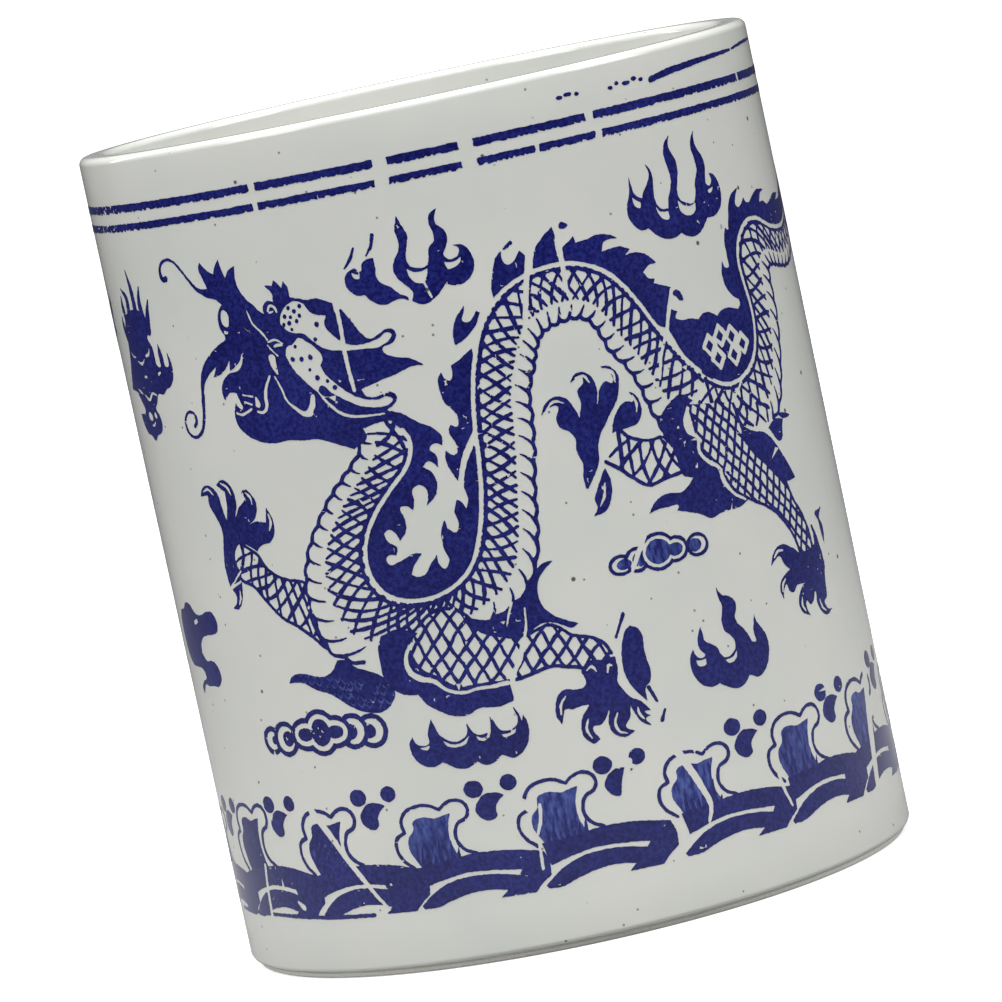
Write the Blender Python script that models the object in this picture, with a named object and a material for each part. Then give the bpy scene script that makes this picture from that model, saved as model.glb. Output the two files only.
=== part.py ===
"""Porcelain brush pot: a straight cylinder with a softly rounded lip, a flat floor and an unglazed foot ring.

The clay of such a pot is formed as three members and luted together before firing: a wall, a floor and a foot
ring. Each is one turned solid here. Units are metres, +Z is up, and the origin is the middle of the circle that
the pot stands on.
"""

import math

import bmesh
import bpy

# ---- Driving dimensions -------------------------------------------------------------------------------------

HEIGHT = 0.1195  # table to the top of the lip
OUTER_RADIUS = 0.049
WALL_THICKNESS = 0.004
LIP_ROUNDING = 0.0011  # outer and inner edge of the lip, which is flat between them
HEEL_RADIUS = 0.0008  # rounding where the wall turns in to the foot

FLOOR_THICKNESS = 0.005

FOOT_HEIGHT = 0.0006
FOOT_WIDTH = 0.0044
FOOT_ROUNDING = 0.0003  # wiped edges of the ring's standing face
FOOT_SETBACK = 0.0002  # the ring stands this far inside the wall's rounded heel

LUTE_GAP = 0.0003  # between members that touch

SEGMENTS = 96  # round the pot
ARC_STEP = math.radians(22.5)  # along a rounded edge

# ---- Derived sizes ------------------------------------------------------------------------------------------

INNER_RADIUS = OUTER_RADIUS - WALL_THICKNESS
WALL_BASE_Z = FOOT_HEIGHT + LUTE_GAP
FLOOR_RADIUS = INNER_RADIUS - LUTE_GAP
FLOOR_TOP_Z = WALL_BASE_Z + FLOOR_THICKNESS
FOOT_OUTER_RADIUS = OUTER_RADIUS - HEEL_RADIUS - FOOT_SETBACK
FOOT_INNER_RADIUS = FOOT_OUTER_RADIUS - FOOT_WIDTH


def clear_scene():
    for obj in list(bpy.data.objects):
        bpy.data.objects.remove(obj)


def arc(centre, radius, start_degrees, end_degrees):
    """Points (r, z) of a rounded edge, both ends included."""
    start = math.radians(start_degrees)
    sweep = math.radians(end_degrees) - start
    steps = max(2, round(abs(sweep) / ARC_STEP))
    angles = [start + sweep * i / steps for i in range(steps + 1)]
    return [(centre[0] + radius * math.cos(a), centre[1] + radius * math.sin(a)) for a in angles]


def turned_solid(name, profile, material):
    """Turns a closed profile of (r, z) points round the Z axis. Points at r = 0 close it on the axis."""
    mesh = bpy.data.meshes.new(name)
    shape = bmesh.new()
    corners = [shape.verts.new((r, 0.0, z)) for r, z in profile]
    edges = [shape.edges.new(pair) for pair in zip(corners, corners[1:] + corners[:1])]
    bmesh.ops.spin(
        shape,
        geom=corners + edges,
        cent=(0, 0, 0),
        axis=(0, 0, 1),
        angle=math.tau,
        steps=SEGMENTS,
        use_merge=True,
    )
    bmesh.ops.remove_doubles(shape, verts=shape.verts, dist=1e-6)
    bmesh.ops.dissolve_degenerate(shape, edges=shape.edges, dist=1e-6)
    bmesh.ops.recalc_face_normals(shape, faces=shape.faces)
    shape.to_mesh(mesh)
    shape.free()
    mesh.shade_smooth()
    mesh.set_sharp_from_angle(angle=math.radians(40))
    mesh.materials.append(material)
    obj = bpy.data.objects.new(name, mesh)
    bpy.context.scene.collection.objects.link(obj)
    return obj


def ceramic(name, colour, roughness):
    """A Principled BSDF for fired clay or glaze: never metallic."""
    material = bpy.data.materials.new(name)
    material.use_nodes = True
    surface = material.node_tree.nodes["Principled BSDF"]
    surface.inputs["Base Color"].default_value = (*colour, 1.0)
    surface.inputs["Roughness"].default_value = roughness
    surface.inputs["Metallic"].default_value = 0.0
    material.diffuse_color = (*colour, 1.0)
    return material


# ---- Members ------------------------------------------------------------------------------------------------


def wall(glaze):
    """The tube: a lip with two rounded edges above, a rounded heel below."""
    heel_centre = (OUTER_RADIUS - HEEL_RADIUS, WALL_BASE_Z + HEEL_RADIUS)
    outer_lip_centre = (OUTER_RADIUS - LIP_ROUNDING, HEIGHT - LIP_ROUNDING)
    inner_lip_centre = (INNER_RADIUS + LIP_ROUNDING, HEIGHT - LIP_ROUNDING)
    profile = [
        (INNER_RADIUS, WALL_BASE_Z),
        *arc(heel_centre, HEEL_RADIUS, -90, 0),
        *arc(outer_lip_centre, LIP_ROUNDING, 0, 90),
        *arc(inner_lip_centre, LIP_ROUNDING, 90, 180),
    ]
    return turned_solid("wall", profile, glaze)


def floor_disc(glaze):
    """The flat floor inside the tube. Its underside is level with the wall's base, up inside the foot ring."""
    profile = [
        (0.0, WALL_BASE_Z),
        (FLOOR_RADIUS, WALL_BASE_Z),
        (FLOOR_RADIUS, FLOOR_TOP_Z),
        (0.0, FLOOR_TOP_Z),
    ]
    return turned_solid("floor_disc", profile, glaze)


def foot_ring(bare_clay):
    """The ring that the pot stands on, wiped clean of glaze. It carries the wall and the floor's edge."""
    low_z = FOOT_ROUNDING
    profile = [
        *arc((FOOT_INNER_RADIUS + FOOT_ROUNDING, low_z), FOOT_ROUNDING, 180, 270),
        *arc((FOOT_OUTER_RADIUS - FOOT_ROUNDING, low_z), FOOT_ROUNDING, -90, 0),
        (FOOT_OUTER_RADIUS, FOOT_HEIGHT),
        (FOOT_INNER_RADIUS, FOOT_HEIGHT),
    ]
    return turned_solid("foot_ring", profile, bare_clay)


def main():
    clear_scene()
    glaze = ceramic("clear_glaze_on_porcelain", (0.62, 0.62, 0.58), 0.12)
    bare_clay = ceramic("bare_porcelain", (0.60, 0.57, 0.52), 0.75)
    wall(glaze)
    floor_disc(glaze)
    foot_ring(bare_clay)


main()
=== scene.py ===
"""Looks of the brush pot: clear-glazed porcelain with a cobalt print of a dragon between two borders.

The print is laid out on the unrolled wall, in millimetres: s runs round the outside, 0 at the front and
growing to the right, and z is the height above the table. Each motif is drawn from outlines and brush lines
into a distance field, its edges are read off as loops, and the loops become a thin closed solid wrapped on
the wall. An outline is a list of (s, z) points joined by a smooth curve, and a third value marks a corner.
"""

import math

import bmesh
import bpy
import numpy as np
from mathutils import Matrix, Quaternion, Vector
from mathutils.geometry import delaunay_2d_cdt


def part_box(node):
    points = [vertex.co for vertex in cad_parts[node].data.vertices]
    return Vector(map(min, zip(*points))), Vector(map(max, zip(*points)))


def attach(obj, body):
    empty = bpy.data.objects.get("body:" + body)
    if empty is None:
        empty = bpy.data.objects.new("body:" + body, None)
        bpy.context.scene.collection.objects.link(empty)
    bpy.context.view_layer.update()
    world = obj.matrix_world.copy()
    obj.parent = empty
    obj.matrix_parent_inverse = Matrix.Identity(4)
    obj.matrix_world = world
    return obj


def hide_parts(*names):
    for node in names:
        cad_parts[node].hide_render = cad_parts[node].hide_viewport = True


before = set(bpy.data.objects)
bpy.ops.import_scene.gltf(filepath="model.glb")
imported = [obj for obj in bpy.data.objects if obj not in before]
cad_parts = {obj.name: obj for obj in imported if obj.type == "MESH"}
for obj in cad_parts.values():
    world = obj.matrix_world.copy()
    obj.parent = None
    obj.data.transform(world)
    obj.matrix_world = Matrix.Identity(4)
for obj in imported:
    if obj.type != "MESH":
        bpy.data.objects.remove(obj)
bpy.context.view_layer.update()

# ---- Sizes, in metres unless the name says otherwise -------------------------------------------------

MM = 0.001
WALL_BOX, FLOOR_BOX, FOOT_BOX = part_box("wall"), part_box("floor_disc"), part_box("foot_ring")
HEIGHT = WALL_BOX[1][2]
RADIUS = WALL_BOX[1][0]
BASE = FLOOR_BOX[0][2]  # the underside of wall and floor
FLOOR_Z = FLOOR_BOX[1][2]
FOOT_OUTER = FOOT_BOX[1][0]
WALL = 0.004
BORE = RADIUS - WALL
LIP = 0.0011  # radius of the lip's two edges
HEEL = 0.0008
FILLET = 0.006  # between wall and floor inside
FOOT_WIDTH = 0.0044
FOOT_EDGE = 0.0003
FOOT_SUNK = 0.0003  # how far the foot reaches into the glazed body
RADIUS_MM = RADIUS / MM
GIRTH_MM = math.tau * RADIUS_MM

# ---- Drawing -----------------------------------------------------------------------------------------

PITCH = 0.1  # mm between samples of a field
REACH = 0.6  # mm from an edge within which a field is true
SPAN = 0.35  # mm between points on a smooth line
FLECK = 3  # samples across the finest unevenness
SCALE_LINE = 0.5  # mm, the lines between scales


def smooth(points, closed):
    """Points on a curve through the given ones."""
    place = np.array([point[:2] for point in points], float)
    corner = [len(point) > 2 for point in points]
    if not closed:
        corner[0] = corner[-1] = True
    step = np.roll(place, -1, 0) - place
    size = np.linalg.norm(step, axis=1)[:, None] + 1e-9
    way = step / size
    turn = np.roll(way, 1, 0) * size + way * np.roll(size, 1, 0)
    turn /= np.linalg.norm(turn, axis=1)[:, None] + 1e-9
    found = []
    for i in range(len(place) if closed else len(place) - 1):
        j = (i + 1) % len(place)
        leave = size[i] * (way[i] if corner[i] else turn[i])
        arrive = size[i] * (way[i] if corner[j] else turn[j])
        count = max(1, math.ceil(size[i, 0] / SPAN))
        t = np.arange(count)[:, None] / count
        found.append(
            (2 * t**3 - 3 * t**2 + 1) * place[i]
            + (t**3 - 2 * t**2 + t) * leave
            + (3 * t**2 - 2 * t**3) * place[j]
            + (t**3 - t**2) * arrive
        )
    if not closed:
        found.append(place[-1:])
    return np.concatenate(found)


def oval(s, z, wide, tall, shrink=0.0, count=10):
    """The outline of an oval, wide and tall from its middle, less a margin."""
    steps = [math.tau * k / count for k in range(count)]
    return [(s + (wide - shrink) * math.cos(a), z + (tall - shrink) * math.sin(a)) for a in steps]


def mottle(rows, columns, cell, seed):
    """Smooth noise between -1 and 1 with features about cell samples across."""
    lattice = np.random.default_rng(seed).uniform(-1, 1, (rows // cell + 3, columns // cell + 3))
    z, s = np.arange(rows) / cell, np.arange(columns) / cell
    i, j = z.astype(int), s.astype(int)
    fz, fs = (z - i)[:, None], (s - j)[None, :]
    fz, fs = fz * fz * (3 - 2 * fz), fs * fs * (3 - 2 * fs)
    low = lattice[np.ix_(i, j)] * (1 - fs) + lattice[np.ix_(i, j + 1)] * fs
    high = lattice[np.ix_(i + 1, j)] * (1 - fs) + lattice[np.ix_(i + 1, j + 1)] * fs
    return low * (1 - fz) + high * fz


class Ink:
    """Where the ink is on a rectangle of the unrolled wall. The field is the distance in mm to its edge,
    positive inside."""

    def __init__(self, left, low, right, high):
        self.s = left + PITCH * np.arange(round((right - left) / PITCH) + 1)
        self.z = low + PITCH * np.arange(round((high - low) / PITCH) + 1)
        self.field = np.full((len(self.z), len(self.s)), -REACH)

    def window(self, low, high):
        cols = slice(*np.searchsorted(self.s, (low[0], high[0])))
        rows = slice(*np.searchsorted(self.z, (low[1], high[1])))
        return rows, cols

    def area(self, outline):
        """The window round a closed outline, and the outline's own field in it."""
        loop = smooth(outline, True)
        rows, cols = self.window(loop.min(0) - REACH, loop.max(0) + REACH)
        s, z = self.s[cols], self.z[rows]
        near = np.full((len(z), len(s)), REACH)
        flips = np.zeros((len(z), len(s) + 1), bool)
        for a, b in zip(loop, np.roll(loop, -1, 0)):
            low, high = np.minimum(a, b) - REACH, np.maximum(a, b) + REACH
            c0, c1 = np.searchsorted(s, (low[0], high[0]))
            r0, r1 = np.searchsorted(z, (low[1], high[1]))
            d = b - a
            ps, pz = s[None, c0:c1] - a[0], z[r0:r1, None] - a[1]
            t = np.clip((ps * d[0] + pz * d[1]) / (d @ d + 1e-12), 0, 1)
            part = near[r0:r1, c0:c1]
            np.minimum(part, np.hypot(ps - t * d[0], pz - t * d[1]), out=part)
            r0, r1 = np.searchsorted(z, sorted((a[1], b[1])))
            if r1 > r0:
                crossing = a[0] + (z[r0:r1] - a[1]) / d[1] * d[0]
                flips[np.arange(r0, r1), np.searchsorted(s, crossing)] ^= True
        inside = np.logical_xor.accumulate(flips, axis=1)[:, :-1]
        return (rows, cols), np.where(inside, near, -near)

    def fill(self, *outlines):
        for outline in outlines:
            window, value = self.area(outline)
            self.field[window] = np.maximum(self.field[window], value)

    def clear(self, *outlines):
        for outline in outlines:
            window, value = self.area(outline)
            self.field[window] = np.minimum(self.field[window], -value)

    def net(self, outline, wide, tall, turn):
        """A net of diamonds inside an outline, wide by tall mm, their long axis turned from upright."""
        window, inside = self.area(outline)
        s, z = self.s[None, window[1]], self.z[window[0], None]
        sway = 0.12 * mottle(*inside.shape, 20, 3)
        across = (s * math.cos(turn) - z * math.sin(turn)) / wide
        along = (s * math.sin(turn) + z * math.cos(turn)) / tall
        reach = 1 / math.hypot(1 / wide, 1 / tall)
        for way in (1, -1):
            line = SCALE_LINE / 2 - reach * np.abs((across + way * (along + sway)) % 1 - 0.5)
            self.field[window] = np.maximum(self.field[window], np.minimum(line, inside))

    def stroke(self, points, widths, cut):
        """A brush line, drawn or cut, whose width passes through the given ones, spaced evenly along it."""
        path = smooth(points, False)
        along = np.concatenate([[0], np.cumsum(np.linalg.norm(np.diff(path, axis=0), axis=1))])
        stops = np.linspace(0, along[-1], len(widths))
        half = np.interp(along, stops, widths) / 2
        for a, b, ra, rb in zip(path, path[1:], half, half[1:]):
            edge = max(ra, rb) + REACH
            rows, cols = self.window(np.minimum(a, b) - edge, np.maximum(a, b) + edge)
            d = b - a
            ps, pz = self.s[None, cols] - a[0], self.z[rows, None] - a[1]
            t = np.clip((ps * d[0] + pz * d[1]) / (d @ d + 1e-12), 0, 1)
            value = ra + (rb - ra) * t - np.hypot(ps - t * d[0], pz - t * d[1])
            part = self.field[rows, cols]
            if cut:
                np.minimum(part, -value, out=part)
            else:
                np.maximum(part, value, out=part)

    def line(self, points, *widths):
        self.stroke(points, widths, False)

    def scratch(self, points, *widths):
        self.stroke(points, widths, True)

    def lines(self, table):
        for points, widths in table:
            self.line(points, *widths)

    def scratches(self, table):
        for points, widths in table:
            self.scratch(points, *widths)

    def dot(self, s, z, across, tall):
        self.fill(oval(s, z, across / 2, tall / 2, count=8))

    def value_at(self, places):
        """The field at some (s, z) places, between its samples too."""
        s = (places[:, 0] - self.s[0]) / PITCH
        z = (places[:, 1] - self.z[0]) / PITCH
        i = np.clip(z.astype(int), 0, len(self.z) - 2)
        j = np.clip(s.astype(int), 0, len(self.s) - 2)
        fz, fs = z - i, s - j
        low = self.field[i, j] * (1 - fs) + self.field[i, j + 1] * fs
        high = self.field[i + 1, j] * (1 - fs) + self.field[i + 1, j + 1] * fs
        return low * (1 - fz) + high * fz

    def wear(self, s, z, wide, tall, seed, ink=0.45):
        """Small holes where the ink laid badly, most of them in the middle of an oval."""
        away = np.hypot((self.s[None, :] - s) / wide, (self.z[:, None] - z) / tall)
        holes = ink + 0.6 * away - mottle(*self.field.shape, FLECK, seed)
        self.field = np.where(away < 1.2, np.minimum(self.field, holes), self.field)

    def roughen(self, seed, fine=0.05, coarse=0.03, holes=True):
        """The slightly ragged edge that a transfer leaves, and pinholes where it is worn."""
        shape = self.field.shape
        self.field += fine * mottle(*shape, FLECK, seed) + coarse * mottle(*shape, 3 * FLECK, seed + 1)
        worn = mottle(*shape, 70, seed + 2)
        pits = 0.8 - mottle(*shape, FLECK, seed + 3)
        if holes:
            self.field = np.minimum(self.field, pits + 3 * np.maximum(0.3 - worn, 0))


# ---- Borders -----------------------------------------------------------------------------------------

# Each wave at the front: place of its crest, its height against the plain one, whether its swell joins the
# one before, and how far its spray is lifted.
FRONT_WAVES = (
    (-54.9, 1.13, True, 1.0), (-36.3, 1.06, True, 1.1), (-18.6, 1.0, True, 0.0),
    (-0.3, 1.03, False, -0.3), (19.7, 0.98, False, 0.2), (37.8, 1.05, False, 0.7), (55.7, 1.1, True, 1.8),
)
BACK_WAVES = 10
BACK_TALL, BACK_LIFT = 1.02, 0.3
WAVE_FOOT = 9.0  # mm, the level that the waves are stretched from
DARK_WAVES = (-70, -30)  # between these the crests are inked dark, not washed
CREST_EDGE = [
    (-4.3, 14.9), (-5.8, 16.3), (-6.4, 18.0), (-6.0, 19.4), (-4.7, 20.0, 1), (-4.9, 21.5), (-4.1, 22.8),
    (-2.3, 23.5), (-0.4, 23.4), (1.2, 22.6, 1), (2.2, 23.3), (3.5, 23.6), (4.8, 23.1), (5.3, 21.9),
    (4.8, 20.9), (3.5, 20.3), (2.9, 19.2), (2.9, 17.8), (3.7, 16.6), (5.2, 15.8),
]
CREST_HEART = [
    (-2.6, 14.0, 1), (-3.8, 16.0), (-4.5, 17.8), (-4.3, 19.1), (-3.3, 20.2), (-3.1, 21.4), (-1.5, 21.9),
    (0.3, 21.5), (1.4, 21.7), (2.7, 21.9, 1), (2.1, 20.3), (1.9, 18.2), (2.5, 16.2), (3.6, 14.6, 1),
]
SWELL = [
    (0.1, 12.8), (3.1, 13.2), (6.1, 13.1), (8.6, 12.8), (11.1, 12.4, 1), (10.6, 11.7, 1), (8.6, 12.2),
    (6.1, 12.6), (3.6, 12.7), (1.1, 12.4), (-1.2, 11.6), (-3.0, 10.5), (-4.3, 9.5, 1), (-4.0, 9.0, 1),
    (-1.9, 9.0), (0.1, 9.6), (2.6, 10.2), (4.6, 10.4), (6.6, 10.3), (8.6, 9.9, 1), (7.4, 9.0, 1),
    (12.4, 8.9, 1), (13.4, 9.8), (15.0, 10.9, 1), (15.1, 12.6), (14.6, 14.4, 1), (12.5, 14.9),
    (10.0, 15.4), (7.5, 15.7), (5.0, 15.8), (1.0, 15.4),
]
SWELL_JOINED = [
    (-5.0, 14.6), (-9.5, 13.0, 1), (-8.7, 9.6, 1), (-7.9, 9.1, 1), (-6.9, 10.1), (-4.9, 11.2),
    (-2.4, 12.2),
]
SWELL_CUT = [(-3.7, 15.2, 1), (-3.1, 12.0, 1)]
COMMA = [
    (2.0, 23.4, 1), (1.0, 23.9), (-0.6, 24.0), (-1.8, 23.2), (-2.4, 22.0), (-1.7, 20.7), (-0.4, 20.2),
    (0.5, 20.7), (0.5, 21.7), (1.2, 22.8),
]
WAVE_CREASES = [
    (
        [(-38.6, 24.4), (-36.8, 22.0), (-34.0, 17.6), (-31.5, 13.9), (-29.8, 11.5), (-28.3, 9.6)],
        (1.3, 1.0, 0.8, 0.5),
    ),
    ([(-53.0, 16.6), (-53.8, 13.0), (-54.3, 8.6)], (0.7, 0.8)),
    ([(-45.9, 11.4), (-44.8, 10.6)], (0.5, 1.0)),
    ([(-3.2, 20.8), (-3.6, 18.5), (-4.3, 16.8)], (0.5, 0.45)),
    ([(-4.4, 15.2), (-4.6, 11.9)], (0.45, 0.4)),
    ([(-5.4, 21.6), (-4.8, 20.4)], (0.9, 0.9)),
    ([(17.2, 23.8), (18.7, 20.6), (20.0, 17.3), (20.6, 15.0), (19.9, 13.0)], (1.2, 1.1, 0.9, 0.5)),
    ([(59.8, 25.0), (58.2, 20.0), (56.8, 15.0), (55.4, 8.5)], (2.2, 2.1, 1.9, 1.5)),
    ([(10.2, 24.0), (9.1, 21.6), (8.5, 19.4)], (0.9, 0.8)),
    ([(32.6, 17.0), (33.0, 14.6), (34.0, 11.6)], (0.6, 0.6, 0.4)),
]
WAVE_UNDERLINE = [(-67.5, 9.3), (-50.0, 9.4), (-40.0, 9.1), (-31.0, 9.0)]


def waves():
    """Every wave: as laid at the front, evenly spaced round the back."""
    first, last = FRONT_WAVES[0][0], FRONT_WAVES[-1][0]
    step = (GIRTH_MM + first - last) / (BACK_WAVES + 1)
    found = list(FRONT_WAVES)
    for k in range(BACK_WAVES):
        s = last + step * (k + 1)
        found.append((s - GIRTH_MM if s > GIRTH_MM / 2 else s, BACK_TALL, k % 4 != 1, BACK_LIFT))
    return found


def moved(points, s, z=0.0, tall=1.0):
    """The outline moved s along and z up, and stretched upwards from the waves' foot."""
    return [(point[0] + s, WAVE_FOOT + (point[1] - WAVE_FOOT) * tall + z, *point[2:]) for point in points]


def crest(ink, s, tall, joined):
    """A breaking wave's outline and the swell that carries it."""
    thick = 0.55 if tall > 1.05 else 0.48
    ink.line(moved(CREST_EDGE, s, tall=tall), thick, thick * 1.15, thick, thick * 1.15, thick)
    ink.fill(moved(SWELL + (SWELL_JOINED if joined else SWELL_CUT), s, tall=tall))


def spray(ink, s, lift):
    """The two drops and the comma thrown up after a wave."""
    ink.dot(s + 6.7, 24.6 + lift, 2.8, 2.5)
    ink.dot(s + 11.7, 24.7 + lift, 2.4, 2.3)
    ink.fill(moved(COMMA, s + 8.8, lift - 0.3))


def streaks(ink, s):
    """Dark streaks that rise from the swell into a crest's wash."""
    for k in range(7):
        foot, rise = s - 2.6 + 0.9 * k, 2.6 + 1.5 * math.sin(2.6 * k + s)
        ink.line([(foot, 14.6), (foot - 0.1, 14.6 + rise / 2), (foot + 0.1, 14.6 + rise)], 0.9, 0.5, 0.1)


def wave_border():
    """The band of breaking waves near the foot."""
    half = GIRTH_MM / 2
    ink = Ink(-half, 6, half, 30)
    for s, tall, joined, lift in waves():
        crest(ink, s, tall, joined)
        spray(ink, s, lift)
        if DARK_WAVES[0] < s < DARK_WAVES[1]:
            ink.fill(moved(CREST_HEART, s, tall=tall))
            ink.wear(s, 18.5, 4.5, 5.0, 17)
        else:
            streaks(ink, s)
    ink.line(WAVE_UNDERLINE, 0.5, 0.6)
    ink.scratches(WAVE_CREASES)
    ink.roughen(11)
    return ink


def wave_hearts():
    """The wash inside each crest."""
    half = GIRTH_MM / 2
    ink = Ink(-half, 10, half, 30)
    for s, tall, _, _ in waves():
        ink.fill(moved(CREST_HEART, s, tall=tall))
    ink.scratches(WAVE_CREASES)
    ink.roughen(13)
    return ink


# The two lines under the lip: height, thickness, and the middle and width of each gap at the front.
BORDER_LINES = (
    (112.05, 1.15, ((-25.5, 1.1), (-6.4, 2.0), (5.7, 2.1), (24.1, 1.4), (58.0, 0.6))),
    (109.35, 1.05, ((-25.5, 0.9), (-6.6, 2.0), (5.7, 2.1), (15.5, 0.6), (25.1, 1.1))),
)
BORDER_STRAYS = [
    (
        [(35.8, 114.9), (38.5, 115.3), (44.0, 115.7), (50.0, 115.9), (57.2, 116.0)],
        (0.9, 1.0, 0.8, 0.6, 0.4),
    ),
    ([(58.0, 116.1), (63.0, 116.4), (72.0, 116.6)], (0.35, 0.5, 0.35)),
]
CRUMBS = (  # place, height and width of each crumb beside the stray stroke
    (20.2, 115.4, 1.1), (21.5, 115.6, 1.4), (22.9, 115.4, 0.8), (28.4, 115.1, 0.9), (29.6, 115.5, 0.7),
    (31.2, 115.3, 1.6), (32.7, 115.6, 1.0), (34.0, 115.3, 0.8),
)


def gap(ink, s, z, wide):
    """A gap in a border line, where two lengths of transfer meet."""
    left, right = s - wide / 2, s + wide / 2
    ink.clear([(left, z + 1, 1), (right, z + 1, 1), (right, z - 1, 1), (left, z - 1, 1)])


def fray(ink, z):
    """The lower edge of a border line, eaten away by small bites."""
    ragged = mottle(*ink.field.shape, 4, 23) + 0.6 * mottle(*ink.field.shape, 2, 24)
    below = (ink.z[:, None] < z - 0.1) & (ink.z[:, None] > z - 1.2)
    ink.field -= np.where(below, 0.2 * np.maximum(ragged, -0.3), 0)


def line_border():
    """The double line under the lip, crisp above and ragged below, and a stray stroke over it."""
    half = GIRTH_MM / 2
    ink = Ink(-half, 105, half, 118.5)
    for z, thick, gaps in BORDER_LINES:
        ink.line([(-half, z), (0, z), (half, z)], thick, thick)
        for s, wide in gaps:
            for turn in (0, half):
                gap(ink, (s + turn + half) % GIRTH_MM - half, z, wide)
        fray(ink, z)
    ink.lines(BORDER_STRAYS)
    for s, z, wide in CRUMBS:
        ink.dot(s, z, wide, 0.6)
    ink.wear(-60.0, 110.7, 7.0, 3.5, 27, 0.2)
    ink.roughen(23, 0.06, 0.05, holes=False)
    return ink


# ---- Dragon ------------------------------------------------------------------------------------------

RIB_SAMPLES = 8  # points on an edge from one rib to the next


class Hide:
    """A scaly band between two edges, given by ribs: pairs of points across it. u runs along it in mm, and
    v is 0 on the first edge and 1 on the second."""

    def __init__(self, ribs):
        pairs = np.array(ribs, float)
        count = RIB_SAMPLES * (len(ribs) - 1) + 1
        self.edges = [self.even(pairs[:, 2 * k : 2 * k + 2], count) for k in (0, 1)]
        middle = (self.edges[0] * 0.6 + self.edges[1] * 0.4).T
        step = np.hypot(*np.diff(middle, axis=1))
        self.u = np.concatenate([[0], np.cumsum(step)])
        self.length = self.u[-1]

    @staticmethod
    def even(points, count):
        """count points along a smooth curve, the same number between each two of the given ones."""
        place = np.linspace(0, len(points) - 1, count)
        i = np.clip(place.astype(int), 0, len(points) - 2)
        t = (place - i)[:, None]
        before, after = points[np.maximum(i - 1, 0)], points[np.minimum(i + 2, len(points) - 1)]
        a, b = points[i], points[i + 1]
        return 0.5 * (
            2 * a
            + (b - before) * t
            + (2 * before - 5 * a + 4 * b - after) * t**2
            + (3 * a - before - 3 * b + after) * t**3
        )

    def at(self, u, v):
        ends = [[np.interp(u, self.u, edge[:, k]) for k in (0, 1)] for edge in self.edges]
        return tuple(a + (b - a) * v for a, b in zip(*ends))

    def rib(self, k):
        """How far along the band its rib k is."""
        return self.u[RIB_SAMPLES * k]

    def outline(self):
        return [(*p, 1) for p in self.edges[0][::2]] + [(*p, 1) for p in self.edges[1][::-2]]

    def scales(self, ink, start, stop, near, far, step, lean=0.62):
        """Crossing lines from v = near to v = far, each a little different. lean is how far one runs along
        the band for each mm that it runs across it."""
        for k in range(-6, math.ceil((stop - start) / step)):
            u = start + k * step
            slant = lean * math.dist(self.at(max(u, start), near), self.at(max(u, start), far))
            for turn in (1, -1):
                sway = 0.35 * math.sin(5.1 * k + turn)
                line = []
                for j in range(7):
                    across = j / 6
                    run = across if turn > 0 else 1 - across
                    along = u + slant * run + sway * math.sin(math.pi * across)
                    if start <= along <= stop:
                        line.append(self.at(along, near + (far - near) * across))
                if len(line) > 2:
                    heavy = SCALE_LINE * (1 + 0.2 * math.sin(3.7 * k + 2 * turn))
                    ink.line(line, heavy * 1.2, heavy * 0.85, heavy * 1.2, heavy * 0.8)

    def belly(self, ink, start, stop):
        """The outer edge, bulging at each belly plate, with a short hooked line where two plates meet."""
        plate, hook = 2.4, 0.24
        u = start
        while u < stop:
            after = min(u + plate, stop)
            bulge = [self.at(u, 0.99), self.at((u + after) / 2, 1.035), self.at(after, 0.99)]
            seam = [self.at(u - 0.2, 1), self.at(u + 0.6, 1 - hook * 0.6), self.at(u + 0.9, 1 - hook)]
            ink.line(bulge, 0.6, 0.5, 0.65)
            ink.line(seam, 0.55, 0.4, 0.2)
            u = after

    def edge_line(self, ink, v, *widths):
        ink.line([self.at(u, v) for u in np.linspace(0, self.length, 24)], *widths)


BODY = [
    (-12.6, 77.2, -18.6, 76.0), (-10.4, 74.2, -17.4, 74.0), (-11.3, 70.7, -19.8, 71.3),
    (-14.5, 67.6, -22.8, 68.6), (-17.3, 64.8, -25.6, 65.5), (-19.3, 61.8, -28.3, 61.8),
    (-20.2, 58.6, -30.0, 58.0), (-19.8, 55.6, -30.6, 54.3), (-18.4, 53.5, -30.0, 50.3),
    (-16.6, 52.4, -28.6, 46.8), (-14.7, 51.9, -24.0, 44.5), (-12.6, 51.8, -18.0, 43.5),
    (-10.6, 52.1, -13.0, 43.5), (-8.6, 52.8, -8.5, 45.5), (-6.6, 54.1, -4.0, 47.5),
    (-5.0, 56.0, 0.3, 49.6), (-3.9, 58.4, 2.9, 53.3), (-3.0, 61.0, 4.1, 57.5), (-2.3, 64.0, 4.7, 61.3),
    (-1.8, 67.0, 5.3, 65.0), (-1.4, 70.5, 6.1, 69.0), (-1.1, 74.0, 6.7, 73.0), (-0.4, 78.5, 7.1, 77.0),
    (0.8, 83.0, 8.5, 80.4), (2.6, 87.2, 9.4, 82.8), (5.4, 90.5, 10.6, 84.5), (9.5, 92.6, 12.4, 85.3),
    (13.5, 93.2, 14.3, 85.6), (17.3, 92.8, 16.2, 85.5), (20.8, 91.2, 17.8, 84.6),
    (23.6, 88.6, 19.0, 82.4), (25.6, 85.6, 20.0, 79.8), (27.4, 82.3, 21.8, 77.4),
    (29.3, 79.3, 23.2, 74.4), (31.7, 76.0, 24.3, 70.6), (34.6, 73.0, 26.0, 66.5),
]
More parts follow.
